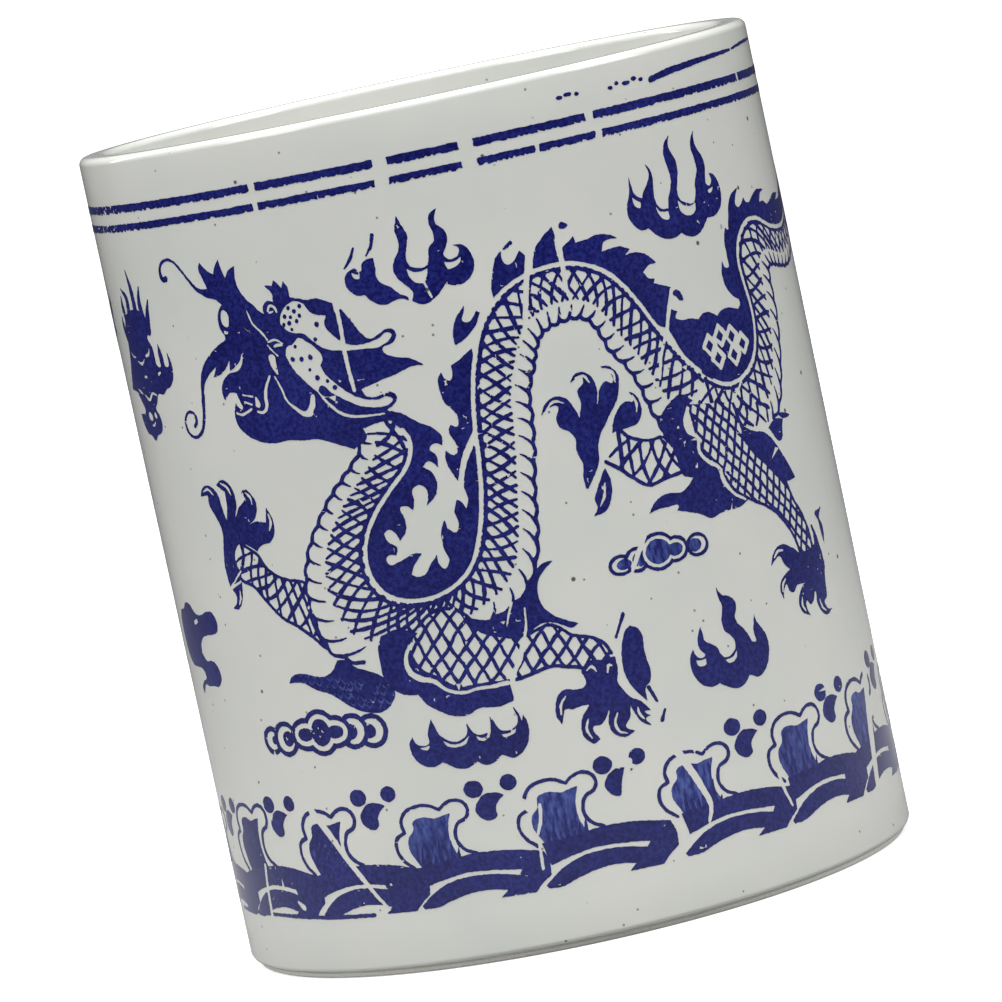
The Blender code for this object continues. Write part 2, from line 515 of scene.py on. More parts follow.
TAIL = [
    (34.6, 73.0, 31.0, 67.5), (37.5, 71.3, 36.5, 65.0), (40.5, 71.1, 42.6, 64.4),
    (43.3, 72.1, 47.3, 64.6), (45.5, 73.9, 50.0, 66.8), (46.8, 76.4, 51.9, 70.6),
    (47.3, 79.2, 53.5, 75.0), (47.1, 82.0, 54.4, 79.0), (46.6, 85.0, 54.5, 82.6),
    (46.6, 88.0, 54.8, 84.8), (48.2, 90.7, 55.8, 85.3), (51.2, 92.3, 57.0, 85.2),
    (54.7, 92.0, 58.4, 84.9), (58.2, 90.6, 60.2, 84.6), (62.0, 89.9, 62.7, 84.3),
    (66.0, 90.0, 66.4, 84.8), (70.5, 91.4, 71.6, 87.0), (75.0, 93.6, 76.4, 90.3),
    (79.0, 96.8, 81.0, 94.6),
]
FORE_ARM = [
    (-41.2, 63.2, -43.4, 60.4), (-38.4, 61.5, -42.8, 58.2), (-37.3, 59.7, -40.3, 56.9),
    (-35.7, 58.3, -38.4, 54.7), (-33.8, 57.5, -36.0, 52.2), (-32.0, 57.1, -33.6, 50.8),
    (-30.7, 56.5, -31.3, 49.0), (-30.2, 53.0, -29.4, 47.2),
]
FORE_LEG = [
    (-14.7, 48.3, -16.7, 45.0), (-12.0, 50.0, -15.8, 42.3), (-9.0, 49.6, -13.3, 40.6),
    (-6.5, 47.2, -11.0, 38.8), (-4.0, 45.2, -8.3, 38.7), (-1.5, 44.2, -5.5, 38.6),
    (0.6, 44.4, -2.6, 38.5), (3.0, 45.0, 0.0, 38.9), (4.6, 44.2, 2.2, 39.3), (6.0, 42.9, 4.3, 38.8),
    (8.3, 42.1, 6.3, 38.2), (10.0, 41.0, 7.8, 37.4), (10.9, 39.2, 9.2, 36.6),
]
HIND_ARM = [
    (18.6, 69.2, 15.8, 65.1), (19.8, 67.8, 17.6, 63.7), (21.5, 66.9, 19.3, 62.1),
    (23.3, 66.5, 21.4, 60.5), (25.0, 66.5, 24.0, 60.8), (26.5, 65.0, 26.9, 61.1),
]
HIND_LEG = [
    (30.4, 69.9, 38.6, 68.5), (30.8, 65.6, 39.2, 65.6), (31.4, 62.4, 39.8, 63.2),
    (33.8, 59.7, 40.9, 60.8), (35.4, 56.7, 43.0, 58.9), (38.3, 54.6, 45.3, 57.0),
    (41.4, 52.9, 47.0, 55.0), (43.6, 51.1, 47.7, 52.8), (45.3, 48.9, 49.2, 50.4),
    (46.4, 46.7, 50.1, 48.0), (46.9, 44.0, 50.4, 45.0),
]
MANE_RING = [
    (-13.2, 78.6, 1), (-11.2, 78.0), (-8.5, 76.0), (-6.8, 74.9), (-5.8, 73.4), (-6.0, 72.3, 1),
    (-6.9, 72.7), (-7.8, 72.3), (-7.1, 71.0), (-7.2, 69.2, 1), (-7.7, 70.1), (-8.4, 70.5),
    (-9.3, 69.9, 1), (-8.3, 69.0), (-7.8, 67.4), (-8.3, 65.8), (-9.9, 64.5, 1), (-9.5, 65.6),
    (-9.6, 67.0), (-10.4, 67.5), (-11.4, 67.1), (-11.5, 65.5), (-11.9, 64.2, 1), (-12.5, 64.9),
    (-13.5, 65.0), (-13.3, 63.0), (-13.7, 61.3), (-14.7, 60.4, 1), (-15.1, 61.5), (-15.9, 62.2),
    (-16.7, 61.7), (-16.3, 60.4), (-15.3, 59.6), (-15.6, 58.5, 1), (-16.5, 58.7), (-17.2, 58.3),
    (-17.0, 57.5), (-15.2, 57.6), (-13.4, 58.3), (-11.8, 58.2, 1), (-13.0, 57.2), (-14.1, 55.5, 1),
    (-13.3, 55.1), (-12.3, 55.1), (-11.3, 56.2), (-9.9, 57.7, 1), (-9.9, 56.2), (-9.2, 55.5),
    (-8.5, 56.2), (-8.8, 58.4), (-8.7, 60.6), (-7.9, 62.3, 1), (-7.5, 60.7), (-6.6, 60.2), (-6.1, 61.0),
    (-6.3, 62.8), (-5.7, 64.6, 1), (-5.0, 64.1), (-4.6, 63.1, 1), (-4.1, 64.3), (-4.3, 66.0),
    (-3.6, 68.4), (-1.4, 72.0, 1), (-1.2, 70.0), (-1.9, 65.0), (-2.6, 61.0), (-3.7, 57.6), (-5.6, 54.8),
    (-8.4, 52.7), (-12.0, 51.6), (-15.4, 51.8), (-18.4, 53.4), (-20.1, 56.4), (-20.1, 59.8),
    (-18.8, 63.0), (-16.0, 66.4), (-12.6, 69.4), (-10.5, 71.8), (-10.3, 74.2), (-12.0, 76.6),
]
BACK_FINS = [
    [
        (-4.8, 66.8, 1), (-5.6, 68.6), (-6.0, 70.5), (-5.7, 71.4, 1), (-4.9, 70.7), (-4.3, 70.8),
        (-4.1, 72.0), (-4.7, 74.2), (-4.3, 74.8, 1), (-3.4, 74.4), (-3.1, 75.4), (-4.6, 78.3),
        (-4.8, 80.2), (-4.6, 81.6), (-4.1, 82.1, 1), (-3.8, 81.2), (-3.1, 80.8), (-2.6, 81.6),
        (-2.6, 82.8, 1), (-1.4, 83.3), (0.7, 84.5, 1), (0.6, 82.5), (-0.4, 78.5), (-1.1, 74.0),
        (-2.3, 72.3), (-3.8, 70.0),
    ],
    [
        (-1.4, 85.3, 1), (-1.4, 86.9), (-0.8, 88.6), (1.0, 90.7, 1), (0.6, 89.5), (0.2, 88.5),
        (0.9, 88.1), (1.7, 88.6), (2.4, 89.4, 1), (2.8, 89.1, 1), (1.8, 87.4), (0.6, 86.3),
    ],
    [
        (5.1, 90.1, 1), (5.1, 92.2), (5.7, 94.2), (6.5, 96.0), (7.4, 96.7, 1), (7.3, 95.6), (7.9, 94.7),
        (8.7, 94.9), (9.9, 96.3, 1), (10.7, 95.2), (10.3, 93.8), (9.7, 92.6, 1), (7.4, 91.4),
    ],
    [
        (11.2, 93.0, 1), (11.6, 94.7), (12.2, 96.1), (13.5, 97.3), (15.1, 98.4, 1), (15.3, 97.4),
        (15.1, 96.0), (15.2, 93.1, 1),
    ],
    [
        (15.9, 93.0, 1), (16.0, 95.3, 1), (16.9, 95.8), (17.9, 96.5, 1), (18.1, 95.5, 1), (19.5, 95.6),
        (21.4, 95.9), (23.2, 95.6), (24.8, 94.6, 1), (23.4, 94.9), (22.3, 94.7), (21.7, 93.5, 1),
        (22.9, 93.6), (24.6, 93.6), (26.1, 92.9, 1), (25.1, 92.2, 1), (26.6, 92.3), (28.4, 91.7),
        (30.1, 90.1, 1), (28.7, 90.1), (27.5, 89.3, 1), (28.2, 88.3), (29.2, 88.1, 1), (28.9, 87.5, 1),
        (30.3, 86.9), (31.8, 86.2, 1), (30.6, 84.3), (29.8, 82.3), (29.3, 81.0, 1), (28.0, 81.8),
        (26.3, 84.9), (24.4, 88.0), (21.8, 90.9), (18.8, 92.5),
    ],
    [
        (29.7, 80.6, 1), (30.3, 82.1), (30.9, 83.4, 1), (31.8, 82.8, 1), (31.3, 82.1), (32.2, 81.5),
        (33.9, 81.4), (35.4, 81.0, 1), (36.2, 81.5), (37.4, 81.6), (39.2, 80.7, 1), (40.1, 81.2),
        (41.6, 81.4), (44.0, 80.7, 1), (44.8, 81.5), (43.2, 82.9), (42.2, 84.5), (42.0, 86.3),
        (42.6, 87.9, 1), (43.0, 86.9), (43.7, 86.7), (44.0, 88.4), (44.1, 90.5), (44.9, 92.2, 1),
        (45.6, 91.8, 1), (46.3, 93.6), (47.2, 95.6), (48.6, 96.7), (50.3, 97.1, 1), (49.2, 95.9),
        (48.8, 94.9), (49.4, 94.4), (50.4, 94.7), (51.4, 95.5, 1), (51.9, 94.8), (52.8, 94.6),
        (54.2, 95.3), (56.6, 96.0), (59.3, 95.6, 1), (57.4, 95.2), (56.6, 94.1, 1), (58.0, 94.1),
        (59.3, 93.5, 1), (61.0, 93.7), (63.5, 94.5), (66.5, 94.4, 1), (64.9, 93.5, 1), (67.5, 93.7),
        (70.0, 95.0), (72.5, 96.6, 1), (72.6, 95.2, 1), (74.6, 96.6), (76.5, 99.2, 1), (77.0, 97.0),
        (79.0, 96.8, 1), (75.0, 93.6), (70.5, 91.4), (66.0, 90.0), (61.0, 89.9), (57.0, 91.1),
        (53.0, 92.4), (49.4, 91.7), (46.9, 89.0), (46.5, 85.5), (47.2, 81.0), (46.9, 76.6), (44.6, 73.0),
        (40.6, 71.1), (36.6, 71.7), (32.6, 75.0),
    ],
]
# Loose leaves and tufts: above the back, beside the legs and at the end of the tail.
SMALL_FINS = [
    [(16.1, 98.0), (16.4, 98.7), (17.2, 98.5), (17.5, 98.1), (16.9, 97.8)],
    [(31.7, 85.3), (32.5, 85.8), (33.2, 85.1), (33.4, 84.1, 1), (32.7, 84.2), (32.2, 84.9)],
    [
        (14.3, 42.3, 1), (15.4, 41.6), (15.8, 40.4), (15.6, 39.0), (15.7, 37.2), (15.9, 35.6),
        (15.5, 34.1), (14.8, 33.5), (14.5, 31.6, 1), (12.9, 33.8), (12.1, 36.2), (12.2, 38.2),
        (12.8, 40.5), (13.5, 41.8),
    ],
    [
        (39.0, 66.4, 1), (40.5, 64.3), (42.0, 63.6), (44.0, 63.1), (45.6, 61.8), (47.2, 59.7),
        (48.6, 57.4), (49.7, 55.4, 1), (48.0, 55.3), (46.6, 55.4), (45.0, 57.2), (42.6, 59.2),
        (40.7, 61.2), (39.6, 63.6),
    ],
    [(45.3, 63.4, 1), (47.4, 64.3), (49.5, 63.9, 1), (48.9, 62.7), (48.5, 61.3, 1), (47.8, 61.1)],
    [(48.1, 64.9, 1), (49.9, 64.8), (52.0, 64.1, 1), (50.8, 63.9), (49.6, 64.0)],
    [
        (53.2, 49.6), (54.5, 49.8), (56.0, 50.2, 1), (54.8, 49.2), (54.4, 48.7), (55.0, 47.5),
        (54.4, 44.9, 1), (54.0, 46.5), (53.9, 48.3),
    ],
    [
        (79.0, 96.4, 1), (80.6, 97.8), (81.8, 100.0), (82.3, 102.6, 1), (83.0, 100.4), (82.9, 98.8),
        (84.6, 99.6, 1), (84.3, 97.2), (83.2, 95.4), (84.4, 94.6, 1), (82.6, 93.6), (80.6, 94.2),
    ],
]
BELLY_LEAF = [
    (-37.6, 42.8, 1), (-36.8, 43.7), (-35.2, 44.1), (-33.2, 43.7), (-31.0, 43.3), (-29.3, 43.9),
    (-28.1, 45.3, 1), (-26.5, 45.2), (-25.6, 44.2), (-23.6, 43.3), (-21.8, 42.4), (-20.5, 41.0),
    (-20.1, 39.8), (-20.9, 38.3), (-22.3, 37.4), (-25.5, 37.7), (-27.5, 38.7), (-30.2, 40.6),
    (-33.0, 41.7), (-34.8, 42.7), (-36.4, 42.9),
]
FLANK = [
    (-8.4, 49.2, 1), (-6.5, 47.8), (-4.2, 47.4), (-1.7, 48.2), (0.4, 49.8), (1.6, 51.4), (2.9, 52.7),
    (4.2, 53.5), (5.7, 53.6, 1), (4.2, 52.6), (3.0, 51.2), (2.6, 49.6), (2.8, 48.0), (3.7, 46.5),
    (5.2, 45.4), (7.2, 44.3, 1), (6.2, 43.9), (4.9, 44.6), (3.4, 45.3), (1.8, 45.2), (0.4, 44.4, 1),
    (-2.0, 44.3), (-4.0, 44.8), (-6.0, 45.7), (-7.6, 47.2),
]
FORE_THIGH = [
    (-20.4, 47.8, 1), (-18.0, 48.4), (-15.0, 47.4, 1), (-16.6, 45.6), (-16.6, 43.4), (-15.4, 41.8),
    (-13.2, 40.4), (-11.2, 38.8), (-8.6, 38.5), (-6.0, 38.6), (-3.7, 38.8, 1), (-3.4, 36.9),
    (-3.7, 35.7, 1), (-5.5, 35.3), (-7.0, 35.4), (-8.5, 35.6), (-10.3, 34.9), (-12.5, 35.2),
    (-14.5, 36.3), (-16.0, 37.6), (-16.8, 38.9, 1), (-18.5, 39.1), (-20.3, 40.2), (-21.3, 42.0),
    (-21.4, 44.2), (-21.2, 46.4),
]
HIND_THIGH = [
    (27.6, 71.0), (29.3, 71.6), (31.3, 70.3, 1), (30.0, 69.7), (29.3, 68.2), (29.4, 66.6), (30.7, 65.2),
    (30.4, 63.4), (31.4, 61.8), (33.2, 60.4), (33.7, 58.2), (35.2, 56.2), (37.9, 54.8, 1), (36.0, 54.1),
    (33.5, 54.1), (31.8, 54.0), (30.5, 53.7), (28.6, 54.7), (24.9, 56.1, 1), (25.3, 56.6), (23.5, 56.9),
    (22.0, 56.9), (20.5, 56.6, 1), (21.4, 57.7), (22.9, 58.6), (24.5, 58.7), (26.0, 58.4), (27.4, 58.9),
    (28.6, 59.9, 1), (27.0, 60.7), (26.7, 62.6), (26.2, 64.6), (25.3, 66.5), (25.2, 68.2), (25.9, 69.8),
]
# The pale edges of the mane, the two thighs and the flank.
PALE_EDGES = [
    ([(-4.9, 66.2), (-4.0, 68.7), (-2.7, 70.6), (-1.4, 72.6)], (0.5, 0.55, 0.45)),
    (
        [
            (-16.6, 45.8), (-17.5, 44.0), (-17.3, 42.2), (-15.9, 41.0), (-14.2, 40.4), (-12.6, 38.9),
            (-10.4, 38.1), (-8.2, 38.3), (-6.2, 38.2), (-4.0, 38.3),
        ],
        (0.4, 0.9, 0.5, 0.45, 0.6),
    ),
    (
        [
            (30.2, 69.4), (29.2, 68.0), (29.4, 66.3), (30.8, 65.1), (30.6, 63.2), (31.9, 61.4),
            (33.4, 60.3), (33.8, 58.2), (35.2, 56.2), (37.2, 54.9),
        ],
        (0.5, 0.6, 0.6, 0.4),
    ),
    ([(-1.3, 48.9), (-2.0, 47.4), (-2.5, 46.0)], (0.3, 0.4, 0.2)),
    ([(0.4, 48.0), (0.1, 45.6), (-0.5, 43.8)], (0.2, 0.4, 0.4)),
]
HUMP_DIAMONDS = [(36.5, 77.0), (38.9, 77.9), (41.3, 77.4), (37.7, 75.0), (43.4, 76.0), (41.1, 74.8)]
PAW_SHAPES = [
    [
        (-45.8, 57.1, 1), (-46.0, 60.1), (-45.7, 61.9), (-44.8, 65.1), (-45.5, 67.2), (-46.6, 69.2),
        (-46.4, 70.5, 1), (-48.4, 70.3, 1), (-47.7, 71.3), (-46.6, 71.9), (-45.2, 71.6), (-44.0, 70.4),
        (-43.7, 68.5), (-43.2, 66.7, 1), (-42.6, 68.3), (-42.3, 70.7, 1), (-43.9, 71.8, 1), (-42.5, 72.5),
        (-41.3, 72.0), (-40.5, 70.8), (-40.3, 69.3), (-41.2, 66.9, 1), (-40.1, 68.2), (-38.2, 69.4, 1),
        (-38.9, 70.4, 1), (-38.1, 70.8), (-37.1, 70.1), (-36.4, 68.7), (-37.1, 66.7), (-38.7, 65.7, 1),
        (-37.3, 66.1), (-35.3, 65.8, 1), (-34.7, 67.9, 1), (-33.9, 65.8), (-34.1, 64.3), (-35.0, 63.1),
        (-37.3, 62.6), (-38.2, 61.9, 1), (-40.0, 62.9), (-41.8, 63.1), (-42.8, 62.2), (-43.2, 60.5),
        (-42.6, 58.9),
    ],
    [
        (-45.5, 56.8, 1), (-44.7, 55.8), (-45.0, 54.9), (-46.2, 54.1, 1), (-44.7, 54.0), (-43.8, 54.9),
        (-43.2, 56.2), (-42.8, 57.8, 1),
    ],
    [
        (2.1, 31.1, 1), (1.6, 32.3), (1.8, 33.9), (2.5, 35.2), (3.4, 35.7), (4.9, 35.4), (6.4, 35.6),
        (6.2, 37.7, 1), (7.6, 38.9), (9.4, 38.6), (11.3, 38.7, 1), (11.3, 36.6), (10.9, 35.0),
        (11.3, 34.2), (12.2, 32.7), (13.5, 31.8), (14.8, 30.1, 1), (13.9, 30.2), (14.7, 29.4, 1),
        (13.9, 29.3), (14.5, 28.0, 1), (13.1, 28.9), (12.5, 30.0), (12.0, 31.5, 1), (11.6, 29.9),
        (10.8, 28.7), (11.9, 27.9, 1), (10.3, 27.4), (9.0, 28.1), (8.5, 29.4), (9.0, 31.7, 1),
        (8.4, 30.8), (7.5, 29.9), (6.3, 29.8), (6.9, 27.9, 1), (6.1, 27.5), (5.1, 28.1), (4.6, 29.6),
        (5.0, 31.3), (6.4, 32.9, 1), (5.4, 33.0), (4.0, 32.8), (3.0, 33.0), (2.5, 32.0),
    ],
    [
        (8.1, 73.3, 1), (8.9, 74.7), (10.3, 75.5), (11.9, 75.1), (12.8, 73.7), (13.4, 71.9, 1),
        (14.0, 73.7), (14.0, 75.8), (14.9, 76.5), (15.0, 77.2), (13.1, 76.9, 1), (13.9, 77.9),
        (15.2, 78.0), (16.3, 77.0), (16.7, 75.2), (16.3, 73.3), (15.8, 72.1, 1), (16.5, 73.5),
        (17.2, 75.3), (18.2, 76.0), (19.2, 75.6), (19.3, 76.6), (17.8, 78.2, 1), (19.3, 77.8),
        (20.2, 76.4), (20.0, 74.9), (19.2, 72.9), (18.0, 71.2), (16.9, 69.4), (15.9, 67.9), (15.1, 66.5),
        (15.0, 65.1), (13.7, 63.0), (12.3, 61.3, 1), (12.2, 63.8), (12.5, 65.6), (12.0, 67.6),
        (12.2, 69.2), (11.5, 70.4), (10.4, 71.2), (10.1, 72.4), (10.6, 74.2), (9.4, 74.2),
    ],
    [
        (17.6, 68.8, 1), (18.2, 70.6), (19.3, 72.0), (20.7, 72.6), (21.7, 72.3), (21.2, 73.9, 1),
        (22.2, 73.2), (22.7, 71.8), (22.5, 70.4), (21.7, 69.3), (20.5, 69.0), (19.2, 69.0),
    ],
    [
        (15.5, 64.4, 1), (16.0, 62.4), (15.5, 60.1), (14.2, 58.4), (12.5, 58.2, 1), (13.3, 59.2),
        (13.1, 60.4), (13.7, 61.6), (14.9, 63.5),
    ],
    [
        (46.4, 45.2, 1), (49.9, 45.1), (51.2, 45.5, 1), (51.6, 48.1, 1), (52.4, 46.2), (52.6, 44.0),
        (53.1, 42.5), (52.5, 41.0), (52.0, 39.1), (51.6, 37.7), (50.7, 37.2), (51.0, 36.3),
        (52.5, 35.8, 1), (50.4, 35.3), (49.2, 36.2), (48.5, 37.6), (48.6, 39.1), (47.8, 38.0),
        (46.7, 37.6), (45.9, 38.3), (45.6, 37.4), (46.1, 36.2, 1), (45.2, 36.5), (44.1, 37.4),
        (44.0, 38.7), (44.8, 39.9), (46.3, 40.8, 1), (44.2, 40.8), (43.1, 40.1), (42.3, 40.6),
        (42.0, 41.5), (41.3, 41.0), (40.8, 39.7, 1), (40.4, 41.0), (40.9, 42.2), (42.3, 43.0),
        (43.5, 43.4, 1), (42.8, 43.9), (42.2, 44.7), (41.7, 45.7), (40.8, 45.4), (39.5, 44.7, 1),
        (40.2, 46.0), (41.6, 47.0), (43.1, 47.1), (44.8, 46.3),
    ],
]
# The pale slits that show the inside of the claws.
CLAW_SLITS = [
    [(-47.4, 71.0), (-46.2, 71.3), (-45.0, 70.4)],
    [(-42.9, 72.0), (-41.7, 71.4), (-41.1, 70.2)],
    [(-38.1, 70.3), (-37.3, 69.5), (-37.2, 68.6)],
    [(-34.6, 67.0), (-34.4, 65.8), (-35.0, 64.6)],
    [(-44.5, 54.6), (-43.9, 55.5), (-43.7, 56.6)],
    [(2.3, 32.4), (2.5, 33.7), (3.4, 34.8)],
    [(5.8, 28.3), (5.3, 29.6), (5.8, 31.0)],
    [(10.8, 27.8), (9.7, 28.4), (9.4, 29.6), (10.0, 30.9)],
    [(13.6, 29.2), (13.0, 30.2), (13.0, 31.0)],
    [(7.0, 37.6), (7.8, 38.0), (8.3, 37.2)],
    [(9.8, 36.7), (10.3, 37.7), (10.6, 37.5)],
    [(9.0, 74.0), (10.3, 74.9), (11.6, 74.4)],
    [(14.0, 77.4), (15.2, 77.4), (15.8, 76.4)],
    [(18.5, 77.7), (19.5, 76.9), (19.6, 75.6)],
    [(21.7, 73.2), (22.1, 72.0), (21.9, 70.8)],
    [(13.7, 59.3), (14.6, 60.7), (15.0, 62.3)],
    [(40.6, 45.7), (41.6, 46.4), (42.7, 46.3)],
    [(40.9, 40.8), (41.3, 41.8), (42.0, 42.3)],
    [(45.2, 37.0), (44.7, 37.9), (45.0, 39.0)],
    [(50.6, 35.9), (49.7, 36.6), (49.4, 37.8)],
]
STRAY_STROKES = [
    ([(51.4, 48.0), (51.9, 46.5), (52.6, 44.0), (52.7, 42.5)], (0.5, 0.7)),
    ([(15.1, 33.3), (15.9, 31.2)], (0.6, 0.35)),
    ([(16.8, 29.8), (16.1, 28.4)], (0.4, 0.6)),
    ([(13.7, 44.1), (12.0, 41.2)], (0.5, 0.35)),
    ([(7.9, 96.9), (8.9, 97.5)], (0.4, 0.6)),
]
HEAD = [
    (-37.3, 103.1, 1), (-36.2, 101.8), (-35.1, 101.1, 1), (-34.6, 102.1), (-33.7, 103.1, 1),
    (-33.5, 101.8), (-33.1, 100.4, 1), (-32.4, 101.3), (-31.0, 101.9, 1), (-31.4, 100.2), (-31.2, 98.6),
    (-30.4, 97.2), (-29.4, 96.1), (-28.3, 94.9), (-27.8, 94.6, 1), (-27.7, 95.7), (-26.8, 96.3),
    (-25.9, 96.0, 1), (-25.9, 97.2), (-26.9, 98.5, 1), (-25.6, 98.2, 1), (-25.2, 99.0, 1), (-24.6, 98.3),
    (-24.2, 97.7, 1), (-23.7, 98.6, 1), (-23.2, 97.6), (-23.2, 96.2, 1), (-22.0, 95.9), (-20.8, 95.5),
    (-19.5, 95.5), (-17.1, 94.4, 1), (-16.9, 92.5, 1), (-16.1, 93.5, 1), (-15.0, 91.7), (-13.9, 89.6),
    (-12.9, 88.6), (-11.5, 89.0), (-10.3, 89.5), (-9.3, 89.2), (-9.1, 88.4), (-9.8, 87.5), (-11.4, 86.8),
    (-11.0, 86.1), (-9.8, 85.5), (-8.0, 85.0), (-6.9, 84.3), (-6.1, 83.6, 1), (-7.6, 83.8), (-10.0, 83.2),
    (-13.0, 82.6), (-15.5, 82.0, 1), (-15.2, 81.1), (-14.0, 80.6), (-12.6, 80.8), (-11.4, 80.9),
    (-10.8, 80.0), (-11.6, 79.0), (-12.6, 78.4), (-11.6, 77.0, 1), (-14.0, 77.0), (-16.5, 76.6, 1),
    (-16.2, 75.4), (-18.4, 74.0, 1), (-21.0, 75.2), (-23.5, 76.2), (-26.0, 76.4), (-28.5, 76.7),
    (-30.6, 76.6), (-33.8, 77.4), (-35.5, 78.5), (-36.5, 79.7), (-36.8, 81.0), (-36.4, 82.4),
    (-35.4, 84.3, 1), (-36.8, 84.4), (-38.1, 83.4, 1), (-38.3, 84.7), (-37.6, 86.2), (-36.2, 87.1),
    (-34.3, 87.4), (-33.4, 88.2), (-32.9, 89.8, 1), (-33.8, 88.6), (-35.9, 87.4, 1), (-35.6, 88.9, 1),
    (-36.6, 87.9), (-38.0, 87.1), (-39.4, 86.9, 1), (-38.3, 88.4, 1), (-39.9, 87.5), (-41.2, 86.5),
    (-42.0, 85.2), (-42.7, 82.6, 1), (-43.2, 83.2, 1), (-42.6, 85.4), (-41.9, 87.5), (-40.6, 89.1),
    (-38.6, 90.5), (-36.8, 91.4), (-35.4, 92.1), (-36.0, 93.4), (-36.1, 94.8), (-35.7, 95.9),
    (-34.8, 96.8, 1), (-35.6, 97.5), (-37.4, 98.1), (-38.6, 98.9, 1), (-38.0, 99.2), (-36.9, 99.3, 1),
    (-37.5, 101.2), (-37.8, 102.2),
]
WHISKERS = [
    (
        [
            (-45.2, 101.5), (-45.9, 101.4), (-46.3, 102.3), (-45.8, 103.5), (-44.4, 104.1),
            (-42.9, 103.8), (-41.6, 102.6), (-40.2, 100.8), (-38.8, 99.3), (-37.0, 98.7),
        ],
        (0.9, 0.45, 0.4, 0.4, 0.5, 0.9),
    ),
    (
        [
            (-45.8, 80.4), (-45.3, 80.9), (-45.2, 81.8), (-46.2, 82.5), (-47.5, 82.0), (-48.1, 80.7),
            (-47.6, 79.4), (-46.2, 78.8), (-44.6, 79.4), (-43.5, 80.9), (-42.9, 82.8), (-42.4, 84.6),
        ],
        (0.6, 0.45, 0.5, 0.5, 0.6, 0.7),
    ),
]
BROW = [
    (-25.5, 93.0), (-24.9, 94.4), (-23.8, 95.3), (-22.4, 95.6), (-21.3, 94.9), (-20.7, 93.8),
    (-19.8, 93.2), (-18.4, 92.9, 1), (-18.9, 91.6), (-18.2, 90.3), (-17.1, 89.1), (-16.3, 88.5),
    (-14.6, 88.1), (-13.0, 88.1), (-11.4, 88.5), (-10.2, 89.0), (-9.7, 88.6), (-10.3, 87.9),
    (-11.8, 87.3), (-14.0, 87.4), (-16.5, 87.6), (-18.4, 88.0), (-20.0, 88.7), (-21.2, 89.8),
    (-22.2, 90.9), (-23.4, 91.2), (-24.7, 91.8),
]
CHEEK = [
    (-25.7, 88.6), (-25.4, 89.4), (-24.2, 89.8), (-23.2, 90.5), (-22.2, 89.9), (-21.0, 88.8),
    (-20.3, 87.7), (-20.3, 86.9), (-20.8, 86.2, 1), (-20.4, 85.1), (-19.6, 84.0), (-18.4, 82.7),
    (-16.8, 81.3), (-15.2, 80.5), (-13.6, 80.2), (-11.9, 80.3), (-11.4, 79.9), (-12.3, 79.2),
    (-14.0, 79.2), (-16.0, 79.7), (-18.2, 81.0), (-20.0, 82.3), (-21.4, 83.5), (-22.0, 82.6, 1),
    (-22.9, 83.6), (-24.2, 85.2), (-25.2, 86.8),
]
EYE = [(-34.8, 96.0), (-34.2, 95.6), (-34.1, 94.4), (-34.5, 93.6), (-35.2, 93.8), (-35.5, 94.8)]
